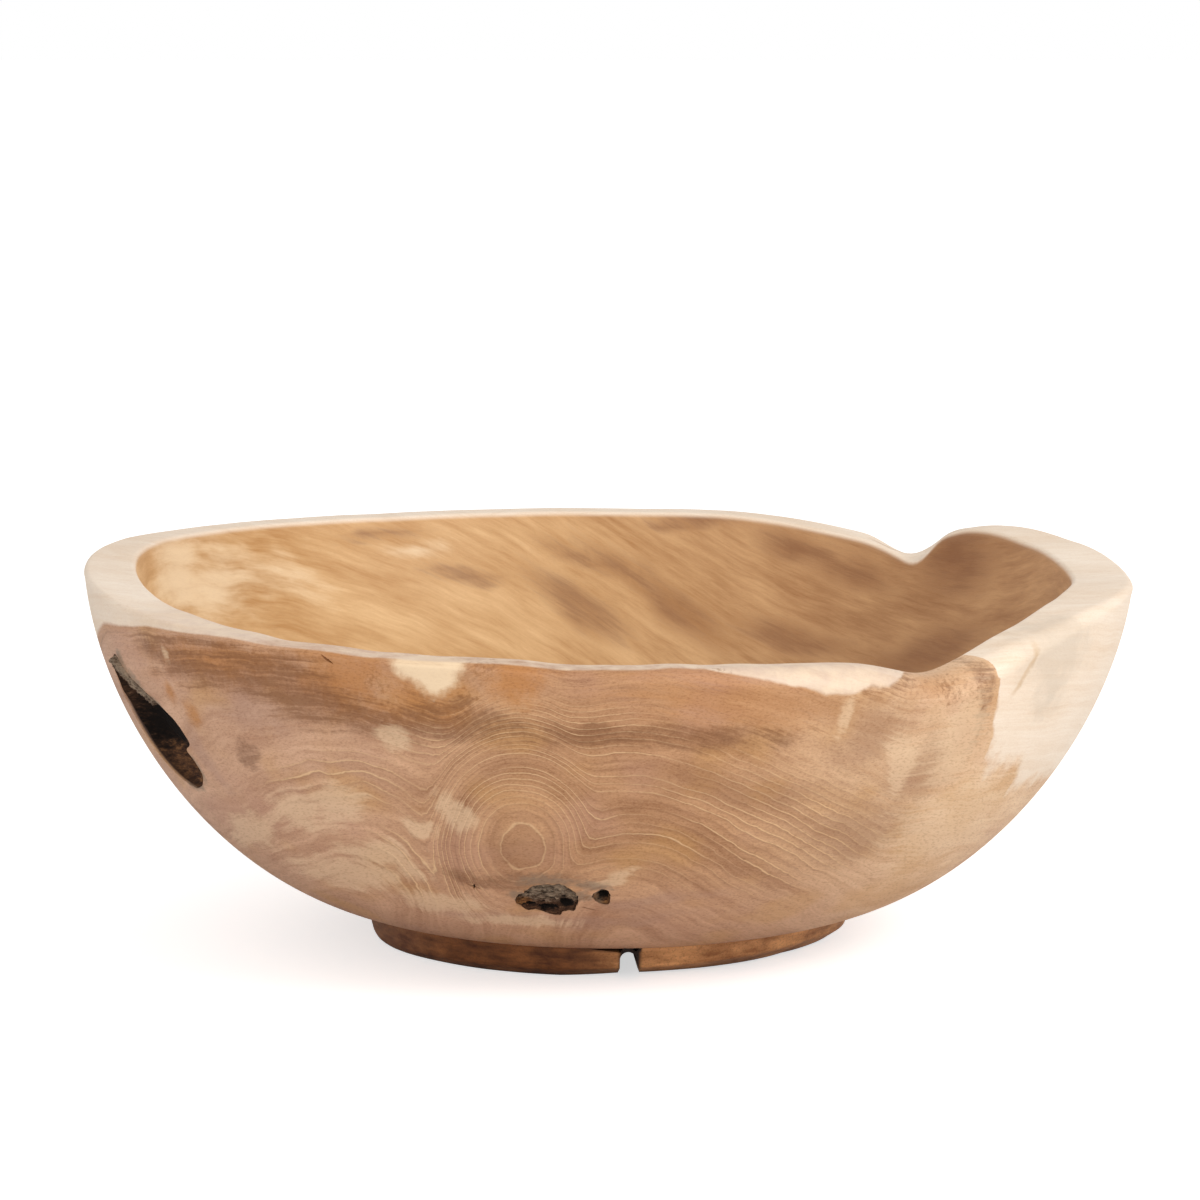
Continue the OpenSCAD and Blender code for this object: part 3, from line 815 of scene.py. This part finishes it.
# A grey weathered patch in the sapwood on the right, brown specks of bark where it had touched the wood, and
# a thin brown vein
colour, _ = lay_stains(colour, (
    ("grey", "#CFBDA8", {"blots": 0.5}, 0, 0.9, 0.55),
    ("specks", "#8A5A30", {"speck": 1.667}, 1.25, 2.25, 0.55)))
off = add_node(tree, "Math", TIMES_PLUS, {0: pattern["blots"], 1: VEIN_WANDER, 2: painted["vein"]})
off = add_node(tree, "Math", {"operation": "ABSOLUTE"}, {0: off})
vein = add_node(tree, "MapRange", SOFT_STEP, {
    "Value": off, "From Min": 1.8, "From Max": 0.1, "To Max": 0.42})
vein = add_node(tree, "Math", TIMES, {0: vein, 1: painted["along_vein"]})
colour = add_node(tree, "Mix", COLOURS, {0: vein, 6: colour, 7: "#C0965F"}, 2)

# The basin was sanded finer: golden, in soft strokes that fall to the right, and painted lighter on the
# left and darker on the right, as the light and shade on its inner walls
basin_tone = add_node(tree, "Math", TIMES_PLUS, {0: pattern["brush"], 1: 0.7, 2: pattern["basin_cloud"]})
basin_tone = add_node(tree, "Math", TIMES_PLUS, {0: pattern["bristle"], 1: 0.35, 2: basin_tone})
basin_tone = add_node(tree, "MapRange", {}, {"Value": basin_tone, "From Min": 0.3, "From Max": 1.75})
# Painted light and shade: a lit copy of the basin's wood on the left and a shaded copy on the right
basin_wood_lit_left = add_node(tree, "Mix", COLOURS, {0: basin_tone, 6: "#BD8D56", 7: "#E4BD8A"}, 2)
basin_wood_shaded_right = add_node(tree, "Mix", COLOURS, {0: basin_tone, 6: "#A3744A", 7: "#D3A676"}, 2)
basin_colour, _ = lay_over(tree, basin_wood_lit_left, basin_wood_shaded_right, across, -80 * MM, 100 * MM)
basin_colour, _ = lay_stains(basin_colour, (
    ("basin_light", "#F2D9B4", {"basin_cloud": 1.2, "brush": 0.4}, 0.4, 1.8, 0.75),
    ("basin_dark", "#6A3006", {"brush": 0.8, "basin_cloud": 0.4, "bristle": 0.4}, 0.4, 1.8, 0.6)))
colour = add_node(tree, "Mix", COLOURS, {0: painted["basin"], 6: colour, 7: basin_colour}, 2)

# Pores: short dark dashes, few of them in pale wood
pale_wood = sapwood
for share in (bare_cream, painted["basin"]):
    pale_wood = add_node(tree, "Math", {"operation": "MAXIMUM"}, {0: pale_wood, 1: share})
in_heart = add_node(tree, "MapRange", {}, {"Value": pale_wood, "To Min": 0.28, "To Max": 0.06})
mask = add_node(tree, "MapRange", SOFT_STEP, {"Value": pattern["pore"], "From Min": 0.5, "From Max": 0})
mask = add_node(tree, "Math", TIMES, {0: mask, 1: in_heart})
colour = add_node(tree, "Mix", {**COLOURS, "blend_type": "MULTIPLY"}, {0: mask, 6: colour, 7: "#B79A82"}, 2)

# Painted shade: inside a hollow or a check the wood is painted dark, more so deeper in
colour, _ = lay_over(tree, colour, "#3C2213", painted["hollow"], 0.05, 0.9)
tree.links.new(colour, bsdf.inputs["Base Color"])
bsdf.inputs["Roughness"].default_value = 0.52
bsdf.inputs["Specular IOR Level"].default_value = 0.35
pore_bump = add_node(tree, "Bump", {}, {"Height": pattern["pore"], "Strength": 0.1, "Distance": 0.2 * MM})
tree.links.new(pore_bump, bsdf.inputs["Normal"])
shell.data.materials.clear()
shell.data.materials.append(teak)
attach(shell, "root")
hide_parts("bowl_shell")

# Foot ring
# A ring of teak, turned on a lathe and glued over the spigot, painted darker than the bowl as the shade under
# it. Its bottom edge is worn to a bevel, most of all on the right. A notch lets water out, and beside it the
# glued joint has opened and chipped.

FOOT_COLS = 640
FOOT_ROWS = 30
FLAT_ROWS = 6
BORE_ROWS = 4
FOOT_TAPER = 2
# Bearing, and how far up and in the bevel goes there
BEVELS = np.array([
    (10, 3, 3), (60, 3, 3), (130, 2, 2), (180, 1, 1), (205, 1, 1), (225, 2, 2.5), (258, 2.5, 3.5),
    (272, 3, 8), (290, 3.5, 9), (325, 5, 9.5), (345, 4, 6), (360, 3, 3.5),
])
FOOT_ROUND = 0.6
FOOT_MELT = 0.3
FOOT_DENT = 0.4
FOOT_DENT_PITCH = 14
NOTCH_BEARING = 274.5
NOTCH_W = 4.4
NOTCH_FLARE = 1.98
NOTCH_ROOF = 1.2
NOTCH_STEPS = 12
NOTCH_PAST = 2
# The open joint left of the notch and the chip right of it: where they start and end, how deep they get, and
# how far in and down they reach
JOINT = (264.5, 273, 1.3)
CHIP = (275.2, 277.2, 1.1)
OPEN_IN = 4
OPEN_DOWN = 2.5


def foot_section(bearing):
    """The ring's section at each bearing, in rows: over its top, down its side, in below and up its bore."""
    count = len(bearing)
    top = [bore_r + (foot_r - bore_r) * i / FLAT_ROWS for i in range(FLAT_ROWS)]
    rows = [np.tile([r, foot_h], (count, 1)) for r in top]
    bevel_h, bevel_run = (np.interp(bearing, BEVELS[:, 0], BEVELS[:, i], period=360) for i in (1, 2))
    for i in range(FOOT_ROWS + 1):
        z = foot_h * (1 - i / FOOT_ROWS)
        level = np.full(count, z)
        taper = foot_r - FOOT_TAPER * (1 - z / foot_h)
        worn = foot_r - FOOT_TAPER * (1 - bevel_h / foot_h) - bevel_run * (1 - z / bevel_h)
        side = -FOOT_MELT * np.logaddexp(-taper / FOOT_MELT, -worn / FOOT_MELT)
        side = side - FOOT_DENT * dents(around(bearing, foot_r, level), FOOT_DENT_PITCH) * (1 - z / foot_h)
        edge = max(FOOT_ROUND - z, 0)
        side = side - (FOOT_ROUND - math.sqrt(FOOT_ROUND**2 - edge**2))
        rows.append(np.stack([side, level], axis=1))
    bottom = rows[-1][:, 0]
    for i in range(1, FLAT_ROWS + 1):
        rows.append(np.stack([bottom + (bore_r - bottom) * i / FLAT_ROWS, 0 * bottom], axis=1))
    rows += [np.tile([bore_r, foot_h * i / BORE_ROWS], (count, 1)) for i in range(1, BORE_ROWS)]
    return np.array(rows)


foot_outline = foot_section(np.zeros(1))[:, 0]
foot = spin_blank("foot_ring_turned", np.vstack([foot_outline, foot_outline[:1]]), FOOT_COLS)
row, bearing = rows_and_bearings(foot, foot_outline)
col = np.rint(bearing * FOOT_COLS / 360).astype(int) % FOOT_COLS
bearing = col * 360 / FOOT_COLS
reach, height = foot_section(np.arange(FOOT_COLS) * 360 / FOOT_COLS)[row, col].T
opened = np.clip((bearing - JOINT[0]) / (JOINT[1] - JOINT[0]), 0, 1) * (bearing < JOINT[1]) * JOINT[2]
chipped = np.clip(1 - np.abs(2 * bearing - CHIP[0] - CHIP[1]) / (CHIP[1] - CHIP[0]), 0, 1) * CHIP[2]
near_edge = np.clip((reach - foot_r + OPEN_IN) / OPEN_IN, 0, 1)
near_edge = near_edge * np.clip((height - foot_h + OPEN_DOWN) / OPEN_DOWN, 0, 1)
put(foot, around(bearing, reach, height - (opened + chipped) * near_edge))

# The notch: upright on its left, flared on its right, and round on top
notch_half = NOTCH_W / 2
notch_mid = foot_h - NOTCH_ROOF - notch_half
notch = [(-notch_half, -1), (notch_half + NOTCH_FLARE, -1)]
for i in range(NOTCH_STEPS + 1):
    turn = math.pi * i / NOTCH_STEPS
    notch.append((notch_half * math.cos(turn), notch_mid + notch_half * math.sin(turn)))
ends = (bore_r - NOTCH_PAST, foot_r + NOTCH_PAST)
through = [np.column_stack([np.full(len(notch), end), notch]) for end in ends]
cut(foot, loft("notch_cutter", np.array(through), Matrix.Rotation(math.radians(NOTCH_BEARING), 4, "Z"))[0])
smooth(foot, WOOD_CREASE)

# Painted shade: the wood is painted dark in the notch, and along the opened joint beside it
NOTCH_SHADE_SHIFT = 0.4
NOTCH_SHADE_REACH = 3
JOINT_SHADE_START = 258
JOINT_SHADE_RUN = 14
JOINT_SHADE_END = 277.5
JOINT_SHADE_DOWN = 2
p = places(foot)
bearing = bearings(p)
off_notch = np.abs(np.radians(bearing - NOTCH_BEARING - NOTCH_SHADE_SHIFT)) * foot_r - notch_half
paint(foot, "notch_shade", np.clip(1 - off_notch / NOTCH_SHADE_REACH, 0, 1))
joint_shade_share = np.clip((bearing - JOINT_SHADE_START) / JOINT_SHADE_RUN, 0, 1) * (bearing < JOINT_SHADE_END)
paint(foot, "joint_shade", joint_shade_share * np.clip((p[:, 2] - foot_h + JOINT_SHADE_DOWN) / JOINT_SHADE_DOWN, 0, 1))

# Teak, turned and oiled, lighter towards the right, and painted darker than the bowl as the shade under
# it
foot_wood, tree = new_material("oiled_turned_teak")
bsdf = tree.nodes["Principled BSDF"]
here = add_node(tree, "TexCoord", {}, {}, "Object")
across = add_node(tree, "SeparateXYZ", {}, {0: here}, "X")
height = add_node(tree, "SeparateXYZ", {}, {0: here}, "Z")
pattern = {}
for name, stretch, size, detail in (
        ("streak", (1, 1, 7), 20, 6), ("mottle", (0.7, 0.7, 1.6), 8, 5), ("grit", (1, 1, 1), 0.6, 1)):
    vector = add_node(tree, "VectorMath", TIMES, {0: here, 1: stretch})
    noisy = add_node(tree, "TexNoise", {}, {
        "Vector": vector, "Scale": per_mm(size), "Detail": detail, "Roughness": 0.62}, "Fac")
    pattern[name] = add_node(tree, "MapRange", {}, {
        "Value": noisy, "From Min": NOISE_LOW, "From Max": NOISE_HIGH})
tone = add_node(tree, "Math", TIMES_PLUS, {0: pattern["streak"], 1: 0.8, 2: pattern["mottle"]})
tone = add_node(tree, "MapRange", {}, {"Value": tone, "From Min": 0.4, "From Max": 1.45})
colour = add_node(tree, "Mix", COLOURS, {0: tone, 6: "#4B2713", 7: "#965E34"}, 2)
for start, end, most, dark, light in (
        (-14, 14, 1, "#8F5A33", "#DB9F69"), (-42, -64, 0.6, "#7A4A30", "#B8855E")):
    wood = add_node(tree, "Mix", COLOURS, {0: tone, 6: dark, 7: light}, 2)
    colour, _ = lay_over(tree, colour, wood, across, start * MM, end * MM, most)
notch_shade, joint_shade = (
    add_node(tree, "Attribute", {"attribute_name": name}, {}, "Fac") for name in ("notch_shade", "joint_shade"))
# Pores, then painted shade along the bottom edge by the table, in the notch and along the open joint
for value, start, end, most, tint in (
        (pattern["grit"], 0.5, 0, 0.25, "#3A1E0E"), (height, 1.2 * MM, 0.2 * MM, 0.5, "#2E180C"),
        (notch_shade, 0.5, 1, 1, "#1A0C06"), (joint_shade, 0.15, 0.7, 0.9, "#1A0C06")):
    colour, _ = lay_over(tree, colour, tint, value, start, end, most)
tree.links.new(colour, bsdf.inputs["Base Color"])
bsdf.inputs["Roughness"].default_value = 0.48
bsdf.inputs["Specular IOR Level"].default_value = 0.35
foot.data.materials.clear()
foot.data.materials.append(foot_wood)
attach(foot, "root")
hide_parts("foot_ring")

# Left bark lining
# A crust of bark that grew into the left hollow: grey and crumbly where it comes up to the hollow's
# upper edge, brown below, and painted black as the shade in the deepest part. It sits loose in the wood,
# with a small gap.

BARK_GAP = 0.25
BARK_LEAST = 0.5
BARK_CREASE = 50
UNDER_ROWS = 10
FACE_ROWS = 60


def bark_in(name, hollow, edge_level, face):
    """A piece of bark in a hollow. `face` gives how deep under the wall its face lies at places across it."""
    last = len(hollow["levels"]) - 1
    shrink = 1 - BARK_GAP / np.linalg.norm(hollow["mouth"], axis=1).mean()
    rings = []
    for start, end, rows in ((last, edge_level, UNDER_ROWS), (edge_level, last, FACE_ROWS)):
        rings += [hollow_ring(hollow, start + (end - start) * i / rows) for i in range(rows + 1)]
    rings = np.array(rings) * [shrink, shrink, 1] + [0, 0, BARK_GAP]
    back = rings[UNDER_ROWS + 1:]
    back[..., 2] = np.maximum(back[..., 2] + BARK_LEAST, -face(back[..., 0], back[..., 1]))
    piece, q = loft(name, rings, on_wall(*hollow["middle"]))
    smooth(piece, BARK_CREASE)
    return piece, q


# Each lump carries finer ones: how fast they weaken, how much finer each set is, how many sets, lift and gain
LUMP_FRACTAL = (1.0, 2.1, 4, 0.9, 1.8)
LUMP_MOST = 2.2
LUMP_MEAN = 0.4


def lumps(x, y, high, long, short, turn):
    """Ridged lumps about 0, longer one way than the other."""
    c, s = math.cos(math.radians(turn)), math.sin(math.radians(turn))
    at = np.stack([(x * c + y * s) / long, (y * c - x * s) / short, 0 * x], axis=-1).reshape(-1, 3)
    made = np.array([noise.ridged_multi_fractal(Vector(q), *LUMP_FRACTAL) for q in at])
    return high * ((made / LUMP_MOST).reshape(x.shape) - LUMP_MEAN)


# The crust: the part of the hollow's mouth that it lines, how deep it lies, how far out it goes and how far
# it takes to fall off. The floor: how deep it is, and where, how much and how far around it is deeper.
CRUST_POINTS = 26
CRUST_DEPTH = 0.7
CRUST_OUT = 6.6
CRUST_W = 2.8
FLOOR_DEPTH = 7.5
DEEPEST = (8, -2)
DEEPER = 1.5
DEEPER_SQUARE = 80
FACE_LEAST = 0.2
# The lumps of the floor, of the crust and along the crust's edge: their height, length, width and turn
FLOOR_LUMPS = (1.4, 7, 3.5, -30)
CRUST_LUMPS = (0.9, 1.6, 1.1, -30)
EDGE_LUMPS = (1.8, 2.5, 1.5, 20)
crust_line = left_hollow["mouth"][:CRUST_POINTS]


def off_crust(x, y):
    """How far places in the left hollow are from its upper edge."""
    return away_from(x.ravel(), y.ravel(), crust_line).reshape(x.shape)


def lining_face(x, y):
    """A crumbly crust at the hollow's upper edge, which falls off to a floor that is deepest on the right."""
    deeper = DEEPER * np.exp(-((x - DEEPEST[0])**2 + (y - DEEPEST[1])**2) / DEEPER_SQUARE)
    floor = FLOOR_DEPTH + deeper - lumps(x, y, *FLOOR_LUMPS)
    crust = CRUST_DEPTH - lumps(x, y, *CRUST_LUMPS)
    share = np.clip((CRUST_OUT - off_crust(x, y) - lumps(x, y, *EDGE_LUMPS)) / CRUST_W, 0, 1)
    return np.maximum(floor + (crust - floor) * share, FACE_LEAST)


def ramp(value, start, full, most=1):
    """0 where a value is at its start, 1 where it is full, and no more than the most."""
    return np.clip((value - start) / (full - start), 0, most)


lining, q = bark_in("left_bark_lining_crumbled", left_hollow, edge_level=3.2, face=lining_face)
x, y = q[:, 0], q[:, 1]
paint(lining, "grey", ramp(off_crust(x, y), start=6.3, full=-0.7, most=0.7))
paint(lining, "rust", ramp(y, start=-9, full=-17, most=0.2))
# Painted shade: the deep floor on the right, away from the crust, is painted black
deep = ramp(x, start=-25, full=-11) * ramp(y, start=-15, full=-6)
paint(lining, "depth_shade", deep * ramp(off_crust(x, y), start=2.5, full=8.5))

# Bark: dull and crumbly, grey where it is weathered, rusty where it is fresh, and painted black in its
# depths as the shade there
bark, tree = new_material("ingrown_bark")
bsdf = tree.nodes["Principled BSDF"]
here = add_node(tree, "TexCoord", {}, {}, "Object")
strands = add_node(tree, "VectorMath", TIMES, {0: here, 1: (0.5, 0.5, 1.3)})
crumbs = add_node(tree, "TexNoise", {}, {
    "Vector": strands, "Scale": per_mm(1.3), "Detail": 6, "Roughness": 0.75}, "Fac")
crumbs = add_node(tree, "MapRange", {}, {"Value": crumbs, "From Min": 0.34, "From Max": 0.66})
painted = {
    name: add_node(tree, "Attribute", {"attribute_name": name}, {}, "Fac")
    for name in ("grey", "rust", "depth_shade")}
colour = add_node(tree, "Mix", COLOURS, {0: crumbs, 6: "#2C1A10", 7: "#644430"}, 2)
for name, dark, light in (("grey", "#453528", "#A38E78"), ("rust", "#4A2A16", "#9C6C40")):
    edge = add_node(tree, "Math", TIMES_PLUS, {0: crumbs, 1: 0.5, 2: painted[name]})
    wood = add_node(tree, "Mix", COLOURS, {0: crumbs, 6: dark, 7: light}, 2)
    colour, _ = lay_over(tree, colour, wood, edge, 0.35, 0.95)
# Painted shade: near black wherever the bark lies deep in its hollow
edge = add_node(tree, "Math", TIMES_PLUS, {0: crumbs, 1: -0.3, 2: painted["depth_shade"]})
colour, _ = lay_over(tree, colour, "#0A0503", edge, -0.1, 0.6, 0.97)
tree.links.new(colour, bsdf.inputs["Base Color"])
bsdf.inputs["Roughness"].default_value = 0.9
bsdf.inputs["Specular IOR Level"].default_value = 0.2
lining.data.materials.clear()
lining.data.materials.append(bark)
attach(lining, "root")
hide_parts("left_bark_lining")

# Front bark pocket
# A lump of fibrous bark in the front pocket, nearly level with the wall: grey-brown strands on top, and
# voids where it has crumbled out below, painted black as the shade in them.

POCKET_DEPTH = 0.8
PLUG_LEAST = 0.25
# The strands: their height, length, width and turn, and how fast they bend down
POCKET_STRANDS = (1.8, 3, 0.7, 0)
STRAND_BEND = 0.05
# The rusty patch on the left: its place, and half its width and half its height
RUST_PLACE = (-6.5, -1.5)
RUST_HALF = (2.4, 2.2)
# Each void's place in the pocket, half its width and half its height, and how much deeper it is
POCKET_VOIDS = [(-0.4, -4.4, 1.9, 0.9, 3), (4.9, -2.2, 1.2, 1.5, 3), (-4.8, -2.6, 0.9, 0.7, 2)]


def crumbled(depth, x, y, voids):
    """How deep a face is at places across it once its voids are added, and never quite up to the wall."""
    for void_x, void_y, half_w, half_h, extra in voids:
        depth = depth + extra * np.exp(-((x - void_x) / half_w)**2 - ((y - void_y) / half_h)**2)
    return np.maximum(depth, PLUG_LEAST)


def pocket_face(x, y):
    """Strands that bend down at both ends, with voids in them."""
    strands = lumps(x, y + STRAND_BEND * x**2, *POCKET_STRANDS)
    return crumbled(POCKET_DEPTH - strands, x, y, POCKET_VOIDS)


pocket_bark, q = bark_in("front_bark_pocket_crumbled", pocket, edge_level=2.6, face=pocket_face)
off_rust = np.linalg.norm((q[:, :2] - RUST_PLACE) / RUST_HALF, axis=1)
paint(pocket_bark, "grey", ramp(q[:, 1], start=-3.5, full=6.5, most=0.75))
paint(pocket_bark, "rust", ramp(off_rust, start=1.3, full=0.3))
# Painted shade: black where the face lies deep, in the voids and between the strands
paint(pocket_bark, "depth_shade", ramp(-q[:, 2], start=0.65, full=1.55))
pocket_bark.data.materials.clear()
pocket_bark.data.materials.append(bark)
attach(pocket_bark, "root")
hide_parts("front_bark_pocket")

# Front bark knot
# A small plug of bark that fills the knot hole beside the pocket. It is as loose in the wood as the lump is,
# and crumbled out on its right.

KNOT_DEPTH = 1.1
KNOT_LUMPS = (0.9, 2, 1, 20)
KNOT_VOIDS = [(0.9, -0.1, 1.3, 1.8, 3)]


def knot_face(x, y):
    """A rough plug with one void on the right."""
    return crumbled(KNOT_DEPTH - lumps(x, y, *KNOT_LUMPS), x, y, KNOT_VOIDS)


knot_bark, q = bark_in("front_bark_knot_crumbled", knot_hole, edge_level=2.6, face=knot_face)
paint(knot_bark, "grey", ramp(q[:, 0], start=1.5, full=-1.5, most=0.7))
paint(knot_bark, "rust", ramp(q[:, 1], start=1, full=-4, most=0.35))
# Painted shade: black where the plug lies deep, in its void
paint(knot_bark, "depth_shade", ramp(-q[:, 2], start=1, full=2.2))
knot_bark.data.materials.clear()
knot_bark.data.materials.append(bark)
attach(knot_bark, "root")
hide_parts("front_bark_knot")

# Studio
# A white table under the bowl, a large soft lamp high on the right in front, a weak one on the left, and the
# camera a little above the rim, as the bowl is photographed.

VIEW_HEIGHT = math.radians(9.5)
VIEW_DISTANCE = 1.3
LENS = 135.84
SENSOR_W = 36
LOOKED_AT = Vector((0, 0, 0.05))
AIM = Vector((-0.0024, 0, 0.0957))
# The table's width, its glow, which only the camera sees, and how strongly the room lights the bowl
TABLE_W = 40
TABLE_GLOW = 0.6
ROOM_LIGHT = 0.72
eye = LOOKED_AT + VIEW_DISTANCE * Vector((0, -math.cos(VIEW_HEIGHT), math.sin(VIEW_HEIGHT)))
camera_data = bpy.data.cameras.new("camera")
camera_data.lens = LENS
camera_data.sensor_width = SENSOR_W
camera = bpy.data.objects.new("camera", camera_data)
camera.location = eye
camera.rotation_euler = (AIM - eye).to_track_quat("-Z", "Y").to_euler()
bpy.context.scene.collection.objects.link(camera)
bpy.context.scene.camera = camera

bpy.ops.object.select_all(action="DESELECT")
bpy.ops.mesh.primitive_plane_add(size=TABLE_W)
table = bpy.context.object
table.name = "white_table"
white, tree = new_material("white_table_top")
bsdf = tree.nodes["Principled BSDF"]
bsdf.inputs["Base Color"].default_value = linear("#E7E7E7")
bsdf.inputs["Roughness"].default_value = 1
bsdf.inputs["Specular IOR Level"].default_value = 0
bsdf.inputs["Emission Color"].default_value = linear("#FFFFFF")
seen = add_node(tree, "LightPath", {}, {}, "Is Camera Ray")
glow = add_node(tree, "Math", TIMES, {0: seen, 1: TABLE_GLOW})
tree.links.new(glow, bsdf.inputs["Emission Strength"])
table.data.materials.append(white)

world = bpy.data.worlds.new("studio")
bpy.context.scene.world = world
world.use_nodes = True
background = world.node_tree.nodes["Background"]
background.inputs["Color"].default_value = (1, 1, 1, 1)
seen = add_node(world.node_tree, "LightPath", {}, {}, "Is Camera Ray")
strength = add_node(world.node_tree, "MapRange", {}, {"Value": seen, "To Min": ROOM_LIGHT, "To Max": 1})
world.node_tree.links.new(strength, background.inputs["Strength"])


def softbox(name, place, aim, size, power):
    """A large soft lamp at a place, turned towards a point."""
    lamp = bpy.data.lights.new(name, "AREA")
    lamp.shape = "SQUARE"
    lamp.size = size
    lamp.energy = power
    holder = bpy.data.objects.new(name, lamp)
    holder.location = place
    holder.rotation_euler = (Vector(aim) - Vector(place)).to_track_quat("-Z", "Y").to_euler()
    bpy.context.scene.collection.objects.link(holder)


softbox("key_lamp", place=(1.7, -1.1, 1.3), aim=(0, 0, 0.06), size=0.9, power=24)
softbox("fill_lamp", place=(-0.6, -2.0, 0.3), aim=(0, 0, 0.04), size=1.4, power=14)

bpy.context.scene.view_settings.view_transform = "Standard"
